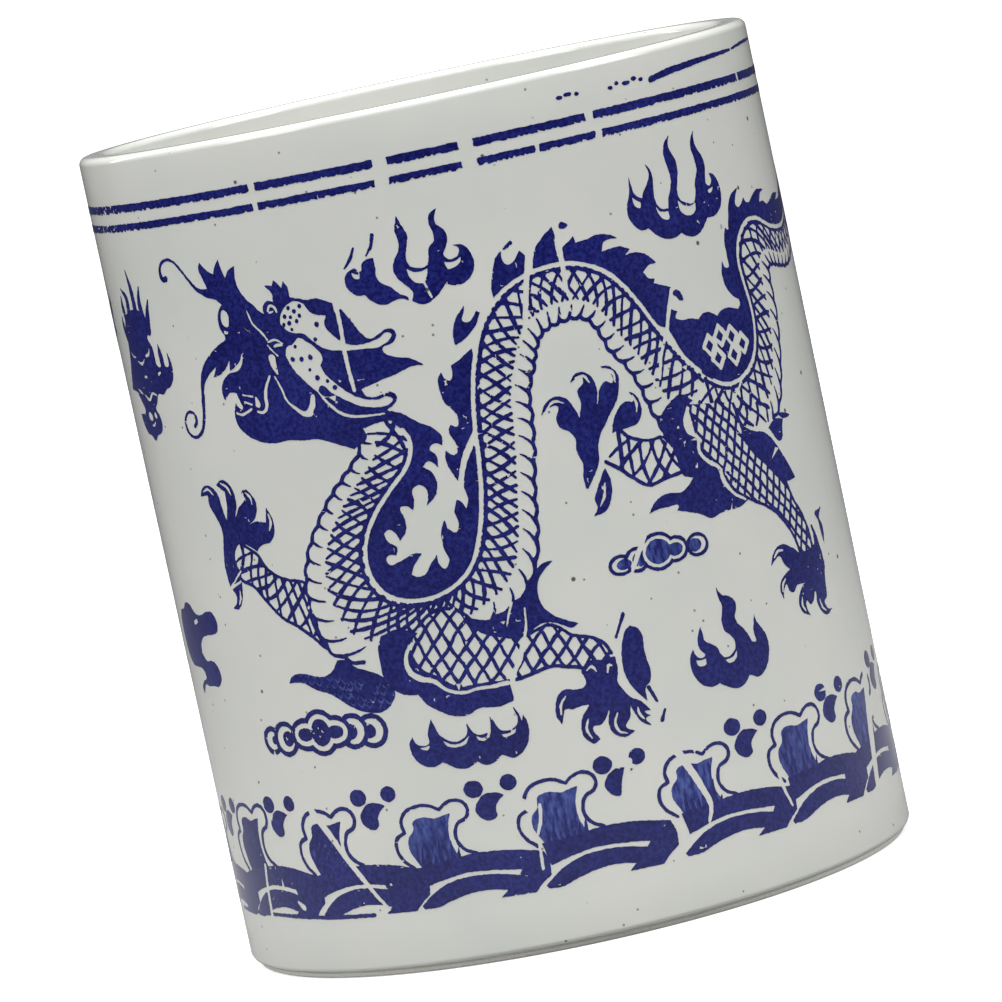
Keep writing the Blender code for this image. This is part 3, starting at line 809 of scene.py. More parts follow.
# Place, height and width of each freckle on brow and cheek.
FRECKLES = [
    (-23.8, 94.8, 0.6), (-22.0, 94.8, 0.6), (-23.0, 94.2, 0.65), (-24.6, 93.7, 0.65), (-23.7, 93.5, 0.6),
    (-22.3, 93.5, 0.6), (-25.0, 92.6, 0.6), (-24.1, 92.7, 0.7), (-22.9, 92.8, 0.6), (-23.9, 91.8, 0.55),
    (-20.0, 91.9, 0.75), (-20.7, 89.9, 0.6), (-24.8, 87.7, 0.7), (-23.4, 87.5, 0.7), (-22.0, 87.6, 0.75),
    (-22.5, 85.9, 0.5), (-21.6, 84.6, 0.75), (-20.2, 83.9, 0.55), (-19.3, 82.9, 0.7), (-24.0, 89.4, 0.5),
]
FACE_LINES = [
    ([(-30.6, 95.4), (-30.0, 93.4), (-28.8, 92.0), (-28.2, 91.0)], (0.15, 0.35, 0.25)),
    ([(-28.1, 90.6), (-27.0, 90.8), (-25.8, 90.1)], (0.2, 0.3, 0.2)),
    ([(-27.2, 89.9), (-26.6, 90.0), (-26.0, 89.9)], (0.3, 0.5, 0.3)),
    ([(-28.3, 90.2), (-27.6, 89.2), (-27.0, 88.5)], (0.2, 0.3, 0.2)),
    ([(-28.1, 88.4), (-28.0, 87.3), (-27.7, 86.1)], (1.1, 0.9, 0.3)),
    (
        [(-28.3, 85.8), (-27.6, 84.0), (-27.1, 82.2), (-26.0, 81.0), (-24.8, 80.0), (-23.8, 79.9)],
        (0.2, 0.3, 0.45, 0.8),
    ),
    ([(-24.2, 79.9), (-23.4, 80.7), (-22.9, 82.2)], (0.8, 0.9, 0.6)),
    (
        [(-32.4, 81.3), (-31.4, 81.1), (-30.7, 81.7), (-30.5, 83.2), (-29.9, 84.8), (-29.1, 85.9)],
        (0.3, 0.5, 0.6, 0.25),
    ),
    ([(-36.3, 81.5), (-35.5, 81.2), (-34.4, 81.4), (-33.4, 81.8)], (0.3, 0.4, 0.3)),
    ([(-35.6, 83.8), (-35.6, 82.8), (-35.2, 82.2)], (0.3, 0.9, 0.6)),
    ([(-32.2, 83.2), (-32.1, 82.3)], (0.4, 0.9)),
    ([(-34.5, 83.9), (-32.8, 83.5)], (0.25, 0.3)),
    ([(-34.4, 82.9), (-33.2, 82.4)], (0.25, 0.3)),
    (
        [(-22.0, 82.8), (-20.8, 80.9), (-19.3, 79.3), (-17.5, 78.5), (-15.0, 78.2), (-13.0, 78.1)],
        (0.2, 0.45, 0.4, 0.2),
    ),
    ([(-27.1, 94.9), (-26.7, 95.5), (-26.0, 95.3), (-25.7, 94.5)], (0.3, 0.4, 0.3)),
    ([(-26.9, 94.6), (-26.3, 94.7)], (0.3, 0.2)),
]
# Where the transfer was creased, cutting pale lines through the dragon.
DRAGON_CREASES = [
    ([(-16.6, 94.6), (-16.6, 91.0), (-16.8, 87.0), (-16.6, 82.0)], (0.6, 0.6)),
    ([(10.9, 95.0), (10.2, 92.5), (9.3, 89.0), (8.6, 86.0)], (0.8, 0.8)),
    ([(15.5, 96.0), (15.5, 92.0), (15.3, 89.5)], (0.7, 0.7)),
    ([(31.6, 86.0), (30.2, 83.0), (29.3, 80.6), (27.6, 77.5), (26.6, 74.5)], (0.5, 0.5)),
    ([(19.4, 72.6), (17.5, 70.4), (15.7, 67.8), (15.2, 65.3), (13.7, 62.9), (12.4, 61.3)], (0.75, 0.75)),
    ([(-46.0, 56.9), (-44.2, 58.1), (-42.6, 59.3)], (0.3, 0.3)),
    ([(-0.6, 43.8), (-1.8, 41.0), (-3.2, 38.8), (-3.2, 35.4)], (0.7, 0.7)),
    ([(41.6, 71.2), (40.0, 69.6), (38.6, 68.6)], (0.4, 0.4)),
]


def limb(ink, ribs, step=0, lean=0, net=None):
    """A scaly leg outlined on both sides, its scales as lines across it or as a net."""
    hide = Hide(ribs)
    ink.clear(hide.outline())
    if net:
        ink.net(hide.outline(), *net)
    else:
        hide.scales(ink, 0.0, hide.length, 0.02, 0.98, step, lean)
    hide.edge_line(ink, 0, 0.5, 0.45, 0.5)
    hide.edge_line(ink, 1, 0.55, 0.5, 0.55)


def torso(ink, body, tail):
    """Body and tail: scales along the back, and belly plates where no leg hides them."""
    for hide, first, step in ((body, 1.0, 1.9), (tail, 0.0, 2.2)):
        ink.clear(hide.outline())
        hide.scales(ink, first, hide.length, 0.06, 0.66, step)
        hide.edge_line(ink, 0.085, 0.55, 0.6, 0.55)
    tail.scales(ink, 0.0, tail.rib(3), 0.6, 1.0, 2.2)
    body.belly(ink, 2.0, body.rib(10))
    body.belly(ink, body.rib(14), body.length)
    tail.belly(ink, tail.rib(3), tail.length)


def belly_leaf(ink):
    """The leaf under the belly, with rows of small pale scales."""
    ink.fill(BELLY_LEAF)
    for row in range(5):
        for k in range(12):
            s = -35.0 + 1.25 * k + 0.6 * (row % 2)
            z = 44.0 - 1.1 * row - 0.3 * k
            ink.scratch([(s - 0.5, z + 0.3), (s, z - 0.2), (s + 0.55, z + 0.35)], 0.15, 0.35, 0.15)
    ink.wear(-25.0, 40.5, 7.0, 2.5, 71)


def hump_patch(ink):
    """The small pale diamonds on the dark hollow of the back."""
    for s, z in HUMP_DIAMONDS:
        diamond = [(s - 1.2, z), (s, z + 1.4, 1), (s + 1.2, z, 1), (s, z - 1.4, 1), (s - 1.2, z)]
        ink.scratch(diamond, 0.7, 0.8, 0.5)


def paws(ink):
    ink.fill(*PAW_SHAPES)
    for slit in CLAW_SLITS:
        ink.scratch(slit, 0.2, 0.45, 0.2)


def head(ink):
    """The long-snouted face in profile, with horns, whiskers and a crest."""
    ink.fill(HEAD)
    ink.lines(WHISKERS)
    ink.clear(BROW, CHEEK)
    ink.scratches(FACE_LINES)
    ink.clear(EYE)
    ink.scratch([(-35.2, 92.9), (-34.9, 92.8)], 0.5, 0.4)
    for s, z, across in FRECKLES:
        ink.dot(s, z, across, across * 1.1)


def dragon():
    """A dragon in the usual manner of such prints: three turns of a scaly body, clawed legs and a mane."""
    ink = Ink(-50, 26, 86, 106)
    body, tail = Hide(BODY), Hide(TAIL)
    ink.fill(MANE_RING, *BACK_FINS)
    limb(ink, FORE_ARM, step=1.8, lean=0.6)
    torso(ink, body, tail)
    limb(ink, FORE_LEG, net=(2.3, 3.5, 0.2))
    limb(ink, HIND_ARM, step=2.0, lean=0.5)
    limb(ink, HIND_LEG, net=(1.75, 2.7, -0.15))
    belly_leaf(ink)
    ink.fill(FORE_THIGH, HIND_THIGH, FLANK, *SMALL_FINS)
    for hide in (body, tail):
        ink.scratch([hide.at(u, 0) for u in np.arange(2.0, hide.length, 1.5)], 0.6, 0.6)
    ink.scratches(PALE_EDGES)
    hump_patch(ink)
    paws(ink)
    ink.lines(STRAY_STROKES)
    head(ink)
    ink.scratches(DRAGON_CREASES)
    ink.roughen(5)
    return ink


# ---- Flames, clouds and pearl ------------------------------------------------------------------------

FLAMES = [
    [
        (-5.7, 104.4, 1), (-5.2, 103.0), (-4.7, 101.6), (-5.1, 100.0), (-5.5, 98.5), (-5.2, 97.3),
        (-4.2, 96.8), (-3.0, 96.9), (-2.5, 97.9), (-2.2, 99.2), (-1.3, 100.1), (-1.2, 101.2),
        (-1.5, 102.5), (-1.2, 103.7), (0.1, 104.5, 1), (-0.5, 103.5), (-0.6, 102.4), (0.3, 101.3),
        (0.6, 100.2), (0.2, 99.0), (-0.4, 97.9), (0.1, 97.2), (0.9, 97.1), (1.7, 97.7), (1.8, 98.4),
        (1.2, 98.9, 1), (2.3, 98.8), (3.1, 97.9), (3.5, 96.5), (3.3, 95.1), (2.3, 93.9), (1.0, 93.4),
        (-0.2, 93.6), (-0.9, 94.0, 1), (-1.7, 93.2), (-2.9, 92.3), (-4.0, 91.8), (-5.3, 92.1),
        (-5.9, 92.6, 1), (-5.6, 93.7), (-6.3, 94.8), (-7.2, 95.9), (-7.6, 97.2), (-7.1, 98.7),
        (-6.3, 99.8), (-6.1, 101.1), (-6.3, 102.4),
    ],
    [
        (-14.6, 97.2), (-13.9, 98.2), (-12.9, 98.5, 1), (-12.2, 97.9), (-11.7, 98.9), (-11.0, 99.4),
        (-10.0, 99.4, 1), (-10.0, 97.9), (-10.1, 96.6), (-9.8, 96.0), (-8.5, 95.1), (-7.3, 93.8),
        (-6.3, 93.1), (-6.3, 92.6, 1), (-7.1, 93.1), (-8.2, 93.1), (-9.3, 92.8), (-10.6, 93.0),
        (-11.7, 93.9), (-12.3, 94.6, 1), (-13.3, 94.7), (-14.2, 95.5),
    ],
    [
        (28.3, 102.8, 1), (28.5, 101.3), (28.6, 100.3), (29.2, 99.6), (29.9, 99.3, 1), (30.5, 100.3),
        (31.4, 101.3), (31.9, 102.3), (31.4, 103.9, 1), (32.1, 103.2), (32.4, 101.9), (32.2, 100.3),
        (32.0, 98.8), (32.4, 97.6), (33.2, 97.1), (34.1, 97.0, 1), (34.5, 98.3), (35.3, 99.7),
        (35.7, 101.3), (35.4, 103.0), (35.3, 104.8), (35.8, 105.9), (37.0, 106.8, 1), (36.5, 105.7),
        (36.7, 104.5), (37.3, 103.2), (37.3, 101.6), (36.7, 100.0), (36.4, 98.6), (36.9, 97.5),
        (38.0, 97.0), (39.3, 96.9), (40.0, 98.0), (40.3, 99.5), (41.2, 101.0), (41.2, 102.6),
        (40.9, 104.2), (41.3, 105.6), (42.2, 106.6, 1), (41.9, 105.4), (42.1, 104.2), (42.9, 102.9),
        (43.2, 101.4), (42.8, 100.0), (42.7, 98.8), (43.4, 98.5), (44.0, 99.2), (43.7, 100.3, 1),
        (44.7, 99.9), (45.5, 98.8), (45.7, 97.3), (45.3, 95.8), (44.2, 94.7), (42.8, 94.2),
        (41.4, 94.3, 1), (40.5, 93.4), (39.5, 92.7), (38.3, 92.3), (36.8, 92.5), (35.5, 93.2, 1),
        (34.5, 92.8), (32.8, 92.9), (31.2, 93.7), (29.9, 95.0, 1), (28.9, 94.9), (27.7, 95.8),
        (27.0, 97.2), (27.2, 98.9), (27.9, 100.3),
    ],
    [
        (-19.0, 33.2, 1), (-18.7, 32.3), (-17.9, 31.8), (-16.8, 31.9), (-16.7, 33.2), (-15.8, 35.2, 1),
        (-15.4, 34.0), (-15.1, 33.0), (-14.3, 32.2), (-13.2, 31.6), (-12.0, 31.7), (-11.1, 32.5),
        (-10.9, 34.1, 1), (-10.6, 33.3), (-10.1, 32.3), (-9.0, 31.9), (-8.0, 32.2), (-7.5, 34.3, 1),
        (-7.0, 33.3), (-6.5, 32.2), (-5.5, 31.8), (-4.4, 32.0), (-3.8, 32.8), (-4.0, 34.8, 1),
        (-3.5, 33.9), (-3.2, 32.8, 1), (-2.9, 33.6, 1), (-2.5, 32.5), (-2.5, 31.2), (-2.9, 29.8),
        (-3.8, 28.6), (-5.2, 27.9), (-6.9, 28.6, 1), (-7.9, 27.9), (-9.2, 27.6), (-10.5, 28.3, 1),
        (-11.8, 27.7), (-13.2, 27.8), (-15.4, 29.1, 1), (-16.4, 28.6), (-17.8, 28.8), (-19.0, 29.7),
        (-19.6, 31.0), (-19.6, 32.4),
    ],
    [
        (22.8, 36.8, 1), (23.1, 35.9), (23.7, 35.3), (24.5, 35.5), (23.9, 36.6), (23.8, 37.8),
        (24.7, 39.7, 1), (24.8, 38.7), (25.0, 37.5), (26.0, 36.8), (26.8, 36.0), (27.1, 35.0),
        (27.6, 34.5), (28.6, 34.5), (29.6, 35.2), (29.9, 36.2), (29.3, 37.2), (28.5, 38.1), (28.3, 39.4),
        (28.7, 40.6), (28.9, 41.7), (28.6, 42.8), (28.5, 44.7, 1), (28.8, 43.7), (29.4, 43.0),
        (30.4, 42.6), (31.3, 41.6), (31.2, 40.5), (30.7, 39.7), (30.9, 38.7), (31.8, 37.6), (32.5, 36.4),
        (33.0, 35.4), (33.5, 35.3), (33.5, 36.6), (34.2, 39.1, 1), (34.4, 38.0), (35.1, 36.9),
        (35.7, 35.7), (35.8, 34.3), (35.3, 32.6), (34.3, 31.2), (33.0, 30.5), (31.2, 31.1, 1),
        (30.2, 30.2), (28.8, 29.8), (27.5, 30.2), (25.9, 31.2, 1), (24.9, 31.0), (23.6, 31.4),
        (22.5, 32.5), (22.0, 34.0), (22.1, 35.6),
    ],
]
FLAME_GLINTS = [
    [
        (-5.8, 97.1, 1), (-5.0, 96.5), (-4.1, 96.3), (-2.9, 96.5, 1), (-3.3, 95.4), (-3.8, 94.7),
        (-4.8, 94.9), (-5.5, 95.7),
    ],
    [(-0.5, 96.9, 1), (0.4, 96.7), (1.4, 96.9), (1.9, 97.3, 1), (1.6, 96.4), (0.8, 95.9), (-0.2, 95.9)],
    [(-13.5, 98.1, 1), (-13.0, 97.7), (-12.4, 97.5, 1), (-12.4, 97.0), (-13.1, 97.0)],
    [(28.2, 99.8, 1), (28.8, 99.2), (29.5, 98.7, 1), (29.2, 98.0), (28.5, 98.4)],
    [(31.9, 97.7, 1), (32.5, 96.9), (34.0, 96.6, 1), (33.9, 95.6), (33.1, 95.6), (32.3, 96.4)],
    [
        (36.1, 97.8, 1), (36.9, 97.0), (38.2, 96.5), (39.6, 96.8, 1), (39.3, 95.8), (38.3, 95.3),
        (37.0, 95.5), (36.2, 96.4),
    ],
    [(42.7, 98.0, 1), (44.0, 98.2, 1), (43.5, 97.6), (42.9, 97.5)],
    [(-18.2, 31.5, 1), (-17.4, 31.5), (-16.7, 31.7, 1), (-17.0, 31.1), (-17.6, 31.1)],
    [
        (-14.9, 32.2, 1), (-13.8, 31.4), (-12.6, 31.2), (-10.9, 32.0, 1), (-11.5, 31.1), (-12.6, 30.8),
        (-13.9, 31.0),
    ],
    [(-9.9, 31.9, 1), (-9.0, 31.4), (-7.7, 32.4, 1), (-8.1, 31.4), (-9.0, 31.0), (-9.7, 31.3)],
    [(-6.3, 31.4, 1), (-5.3, 31.4), (-4.2, 31.9, 1), (-4.6, 31.2), (-5.4, 31.0), (-6.1, 31.0)],
    [(22.9, 35.2, 1), (23.8, 35.0), (24.6, 35.1, 1), (24.4, 34.3), (23.4, 34.2)],
    [(27.7, 34.1, 1), (28.8, 34.2), (29.9, 35.0, 1), (29.6, 34.0), (28.8, 33.5), (28.1, 33.6)],
]
FLAME_WISPS = [
    ([(-14.3, 98.7), (-13.2, 99.9), (-12.5, 101.2)], (0.25, 0.5, 0.35)),
    ([(-10.9, 99.9), (-10.0, 101.0), (-9.5, 102.5)], (0.25, 0.5, 0.6)),
]
PEARL = [
    (-62.2, 94.3), (-61.2, 96.4), (-59.0, 97.3), (-56.0, 97.6), (-54.0, 97.0), (-52.6, 95.3),
    (-54.0, 93.4, 1), (-53.0, 92.0), (-52.5, 89.3), (-51.8, 89.2), (-51.6, 91.0), (-51.2, 92.7, 1),
    (-50.5, 91.0), (-50.0, 89.1), (-49.4, 89.2), (-49.2, 91.5, 1), (-48.7, 90.5), (-48.4, 89.0),
    (-48.8, 87.4), (-50.0, 86.3), (-51.5, 85.9), (-52.5, 85.3), (-54.3, 85.3), (-55.5, 84.0),
    (-56.3, 83.2), (-55.5, 82.3), (-55.4, 80.5), (-56.3, 79.7), (-57.8, 79.4), (-59.2, 78.6),
    (-60.3, 79.3), (-62.0, 79.7), (-63.2, 80.8), (-63.8, 82.5, 1), (-62.4, 82.5), (-61.0, 82.9),
    (-61.8, 84.2), (-63.2, 85.7, 1), (-66.0, 86.0, 1), (-64.6, 88.2), (-63.2, 90.5), (-62.5, 92.5),
]
PEARL_RAYS = [
    [(-59.0, 96.8), (-58.7, 99.2), (-60.4, 100.7)],
    [(-56.2, 97.0), (-56.1, 100.0), (-56.8, 103.3)],
    [(-53.9, 95.8), (-54.1, 98.8), (-53.3, 100.8)],
    [(-53.0, 94.4), (-52.2, 97.0), (-51.3, 98.8)],
    [(-60.8, 96.4), (-61.2, 98.0), (-61.0, 99.6)],
    [(-62.0, 93.6), (-62.8, 95.2), (-62.8, 96.6)],
]
PEARL_GLINTS = [
    ([(-59.5, 90.2), (-58.0, 89.8), (-56.7, 90.4)], (0.2, 0.5, 0.2)),
    ([(-55.8, 90.9), (-54.8, 91.1), (-54.1, 92.0)], (0.4, 0.5, 0.2)),
    ([(-61.9, 91.4), (-60.8, 90.8), (-60.0, 90.8)], (0.2, 0.4, 0.2)),
    ([(-59.7, 85.3), (-57.9, 84.6), (-56.4, 85.5), (-55.0, 85.2)], (0.2, 0.5, 0.4, 0.2)),
    ([(-62.3, 86.1), (-61.4, 85.8), (-60.4, 85.4)], (0.2, 0.5, 0.2)),
    ([(-59.3, 82.2), (-58.8, 82.0)], (1.2, 1.1)),
    ([(-57.0, 82.3), (-56.9, 82.2)], (0.9, 0.8)),
    ([(-59.2, 80.8), (-58.4, 80.9), (-57.7, 81.3)], (0.2, 0.4, 0.2)),
    ([(-57.8, 87.9), (-57.2, 87.9)], (0.4, 0.4)),
    ([(-52.8, 88.2), (-52.2, 88.4)], (0.5, 0.4)),
]
SCROLL = [
    (-65.8, 53.6), (-63.8, 53.9), (-62.2, 54.9), (-60.4, 54.7), (-58.6, 53.4), (-56.6, 53.2),
    (-54.4, 53.7), (-52.6, 53.6), (-51.6, 52.3), (-52.0, 50.9), (-53.6, 50.4), (-55.6, 50.3),
    (-57.6, 49.8), (-58.9, 48.8), (-59.3, 47.7, 1), (-58.0, 46.5), (-56.2, 46.5), (-54.5, 45.8),
    (-53.9, 44.3), (-55.0, 42.9), (-57.2, 42.8), (-59.0, 42.7), (-60.8, 42.9), (-62.5, 41.6),
    (-62.6, 42.2), (-61.2, 43.4), (-59.7, 44.0), (-60.3, 45.0), (-62.4, 45.4), (-65.2, 45.6),
    (-67.0, 47.0), (-67.6, 49.0), (-67.4, 51.6),
]
# A cloud: how thick its line is, how far in its heart starts, its end lobes, and the lobes of its middle.
DARK_CLOUD = (
    0.75, 1.45,
    [(-43.6, 34.9, 2.0, 2.1), (-40.6, 35.0, 2.5, 2.6), (-24.9, 34.9, 2.5, 2.5), (-28.0, 35.2, 2.6, 2.6)],
    [(-36.5, 35.4, 2.9, 2.4), (-33.6, 35.5, 3.2, 3.4), (-31.0, 35.4, 2.9, 2.4)],
)
WASHED_CLOUD = (
    0.5, 0.95,
    [(14.9, 50.7, 1.9, 1.5), (17.3, 50.9, 1.9, 1.8), (27.0, 50.8, 1.9, 1.7)],
    [(20.7, 51.3, 2.9, 2.7), (23.4, 51.0, 2.1, 1.9)],
)
CLOUD_CREASE = [(19.3, 54.0), (17.6, 51.6), (16.4, 49.6)]


def flames():
    """The groups of flames, with a pale glint in each hollow."""
    ink = Ink(-22, 26, 48, 108)
    ink.fill(*FLAMES)
    ink.clear(*FLAME_GLINTS)
    ink.lines(FLAME_WISPS)
    ink.scratch([(-3.8, 94.7), (-3.2, 92.6)], 0.3, 0.35)
    ink.roughen(31)
    return ink


def inner(lobe, middle):
    """An end lobe's heart lies nearer to the cloud's middle."""
    return (lobe[0] + math.copysign(0.45, middle[0][0] - lobe[0]), *lobe[1:])


def cloud_lines(ink, cloud, dark):
    """A cloud's lines, each lobe a ring, the middle ones joined, and the hearts too if they are dark."""
    thick, core, sides, middle = cloud
    for lobe in sides:
        ink.fill(oval(*lobe))
        ink.clear(oval(*lobe, thick))
        if dark:
            ink.fill(oval(*inner(lobe, middle), core))
    ink.fill(*[oval(*lobe) for lobe in middle])
    ink.clear(*[oval(*lobe, thick) for lobe in middle])
    if dark:
        ink.fill(*[oval(*lobe, core) for lobe in middle])


def clouds():
    """The lines of the two clouds, and the dark scroll behind the tail."""
    ink = Ink(-69, 31, 31, 57)
    cloud_lines(ink, DARK_CLOUD, True)
    ink.wear(-33.6, 35.5, 5.0, 2.0, 45)
    cloud_lines(ink, WASHED_CLOUD, False)
    ink.fill(SCROLL)
    ink.scratch([(-59.6, 52.0), (-58.6, 52.3)], 0.6, 0.7)
    ink.scratch(CLOUD_CREASE, 0.6, 0.8, 0.5)
    ink.roughen(41)
    return ink


def tints():
    """The wash inside one cloud, and the one that shows through the scales of the leaf."""
    ink = Ink(-42, 34, 31, 55)
    thick, core, sides, middle = WASHED_CLOUD
    ink.fill(*[oval(*inner(lobe, middle), core - 0.2) for lobe in sides])
    ink.clear(*[oval(*lobe, thick) for lobe in middle])
    ink.fill(*[oval(*lobe, core) for lobe in middle])
    ink.scratch(CLOUD_CREASE, 0.6, 0.8, 0.5)
    ink.fill(BELLY_LEAF)
    ink.roughen(43)
    return ink


def pearl():
    """The flaming pearl that the dragon chases."""
    ink = Ink(-68, 77, -47, 105)
    ink.fill(PEARL)
    for points in PEARL_RAYS:
        ink.line(points, 1.4, 1.2, 0.3)
    ink.scratches(PEARL_GLINTS)
    ink.roughen(51)
    return ink


# ---- From field to solid -----------------------------------------------------------------------------

PROUD = 0.03  # mm that the lines stand out of the glaze
WASH_PROUD = 0.02  # mm, so that the lines lie over the wash
SUNK = 0.05  # mm that their back reaches into it
TRIM = 0.02  # mm that a simplified edge may stray
CHORD = 1.5  # mm round the wall between points, so that the solid follows its curve
SMALLEST = 0.03  # mm2, the smallest speck or hole that is kept
DEEP = 0.35  # mm inside the ink, where points are added that keep the solid round


def next_crossing(field):
    """For each grid edge that the outline crosses, the one that it crosses next, the ink on its left."""
    inside = np.pad(field, 1, constant_values=-REACH) > 0
    rows, cols = inside.shape
    corner = inside.astype(int)
    case = corner[:-1, :-1] + 2 * corner[:-1, 1:] + 4 * corner[1:, 1:] + 8 * corner[1:, :-1]
    i, j = np.mgrid[0 : rows - 1, 0 : cols - 1]
    side = {
        "bottom": i * cols + j,
        "top": (i + 1) * cols + j,
        "left": rows * cols + i * cols + j,
        "right": rows * cols + i * cols + j + 1,
    }
    turns = {
        ("bottom", "left"): (1, 5), ("right", "bottom"): (2, 10), ("top", "right"): (4, 5),
        ("left", "top"): (8, 10), ("right", "left"): (3,), ("top", "bottom"): (6,),
        ("left", "right"): (12,), ("bottom", "top"): (9,), ("top", "left"): (7,),
        ("right", "top"): (11,), ("bottom", "right"): (13,), ("left", "bottom"): (14,),
    }
    found = {}
    for (start, stop), cases in turns.items():
        here = np.isin(case, cases)
        found.update(zip(side[start][here].tolist(), side[stop][here].tolist()))
    return found, rows, cols


def loops_of(ink):
    """The outlines where the field is 0, in mm."""
    follows, rows, cols = next_crossing(ink.field)
    value = np.pad(ink.field, 1, constant_values=-REACH)
    found = []
    while follows:
        edge, after = follows.popitem()
        loop = [edge]
        while after != edge:
            loop.append(after)
            after = follows.pop(after)
        ids = np.array(loop)
        upright = ids >= rows * cols
        i, j = np.divmod(ids - rows * cols * upright, cols)
        a = value[i, j]
        b = value[i + upright, j + ~upright]
        t = a / (a - b)
        s = ink.s[0] + (j - 1 + t * ~upright) * PITCH
        z = ink.z[0] + (i - 1 + t * upright) * PITCH
        found.append(np.stack([s, z], 1))
    return found


def thinned(loop):
    """The loop with the points left out that lie within TRIM of the line between those kept."""
    count = len(loop)
    ring = np.concatenate([loop, loop[:1]])
    keep = np.zeros(count + 1, bool)
    far = int(np.argmax(((loop - loop[0]) ** 2).sum(1)))
    keep[[0, far, count]] = True
    work = [(0, far), (far, count)]
    while work:
        a, b = work.pop()
        if b - a < 2:
            continue
        chord = ring[b] - ring[a]
        rest = ring[a + 1 : b] - ring[a]
        t = np.clip(rest @ chord / (chord @ chord + 1e-12), 0, 1)
        off = ((rest - t[:, None] * chord) ** 2).sum(1)
        worst = int(np.argmax(off)) + a + 1
        if off[worst - a - 1] > TRIM**2:
            keep[worst] = True
            work += [(a, worst), (worst, b)]
    return divided(ring[:-1][keep[:-1]])


def divided(loop):
    """The loop with points added, so that none of its sides spans more than CHORD round the wall."""
    found = []
    for a, b in zip(loop, np.roll(loop, -1, 0)):
        parts = max(1, math.ceil(abs(b[0] - a[0]) / CHORD))
        found.append(a + (b - a) * np.arange(parts)[:, None] / parts)
    return np.concatenate(found)


def area_of(loop):
    s, z = loop.T
    return 0.5 * (s @ np.roll(z, -1) - z @ np.roll(s, -1))


def triangles_of(ink):
    """Points and triangles that cover the ink."""
    loops = [thinned(loop) for loop in loops_of(ink) if abs(area_of(loop)) > SMALLEST]
    loops = [loop for loop in loops if len(loop) > 2]
    points, edges = [], []
    for loop in loops:
        first, count = len(points), len(loop)
        points += loop.tolist()
        edges += [(first + k, first + (k + 1) % count) for k in range(count)]
    step = round(CHORD / PITCH)
    deep = ink.field[::step, ::step] > DEEP
    z, s = np.meshgrid(ink.z[::step], ink.s[::step], indexing="ij")
    points += np.stack([s[deep], z[deep]], 1).tolist()
    out = delaunay_2d_cdt([Vector(p) for p in points], edges, [], 1, 1e-6)
    places = np.array([tuple(p) for p in out[0]])
    faces = np.array([tuple(face) for face in out[2]])
    middles = places[faces].mean(1)
    return places, [tuple(face) for face in faces[ink.value_at(middles) > 0].tolist()]


def wrapped(places, height):
    """Places on the unrolled wall, in metres in the round, some mm out of the wall."""
    angle = places[:, 0] / RADIUS_MM
    out = (RADIUS_MM + height) * MM
    return np.stack([out * np.sin(angle), -out * np.cos(angle), places[:, 1] * MM], 1)


def placed(name, mesh, material):
    """The mesh as a visible piece of the pot."""
    mesh.shade_smooth()
    mesh.materials.append(material)
    obj = bpy.data.objects.new(name, mesh)
    bpy.context.scene.collection.objects.link(obj)
    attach(obj, "root")
    return obj


def print_piece(name, ink, turn, material, proud):
    """A thin closed solid over the ink, with the wall's normals, so that it shades as part of the glaze."""
    places, faces = triangles_of(ink)
    places = places + (turn, 0)
    count = len(places)
    sides = {(a, b) for face in faces for a, b in zip(face, face[1:] + face[:1])}
    rim = sorted((a, b) for a, b in sides if (b, a) not in sides)
    back = [tuple(count + k for k in reversed(face)) for face in faces]
    walls = [(b, a, a + count, b + count) for a, b in rim]
    mesh = bpy.data.meshes.new(name)
    points = np.concatenate([wrapped(places, proud), wrapped(places, -SUNK)])
    mesh.from_pydata(points.tolist(), [], faces + back + walls)
    placed(name, mesh, material)
    corners = np.empty(len(mesh.loops), int)
    mesh.loops.foreach_get("vertex_index", corners)
    covered = 3 * len(faces)
    normals = points * (1, 1, 0)
    normals /= np.linalg.norm(normals, axis=1)[:, None]
    facing = normals[corners]
    facing[covered : 2 * covered] *= -1
    mesh.normals_split_custom_set(facing.tolist())
    lay_out(mesh, np.concatenate([places, places]), corners, covered)


def lay_out(mesh, places, corners, covered):
    """A map for baked colour: the face fills most of it, and the hidden back and rim share a strip."""
    low, high = places.min(0), places.max(0)
    flat = (places - low) / (high - low).max()
    uv = flat[corners] * 0.9
    uv[covered:] = uv[covered:] * (1, 0.08) + (0, 0.91)
    layer = mesh.uv_layers.new(name="OFBake")
    layer.data.foreach_set("uv", uv.ravel())


# How each motif is drawn, whether the panel at the back repeats it, and whether it is a wash.
MOTIFS = {
    "wave_border": (wave_border, False, False),
    "wave_hearts": (wave_hearts, False, True),
    "line_border": (line_border, False, False),
    "dragon": (dragon, True, False),
    "flames": (flames, True, False),
    "clouds": (clouds, True, False),
    "tints": (tints, True, True),
    "pearl": (pearl, True, False),
}


def whole_print(line, wash):
    """Every motif in its material: the borders all round, the others at the front and again at the back."""
    for name, (draw, twice, washed) in MOTIFS.items():
        ink = draw()
        material, proud = (wash, WASH_PROUD) if washed else (line, PROUD)
        print_piece(name + "_front" if twice else name, ink, 0, material, proud)
        if twice:
            print_piece(name + "_back", ink, GIRTH_MM / 2, material, proud)


# ---- Materials ---------------------------------------------------------------------------------------

WHITE = (1, 1, 1)
BLACK = (0, 0, 0)


def new_material(name):
    material = bpy.data.materials.new(name)
    material.use_nodes = True
    tree = material.node_tree
    return material, tree.nodes, tree.links, tree.nodes["Principled BSDF"]


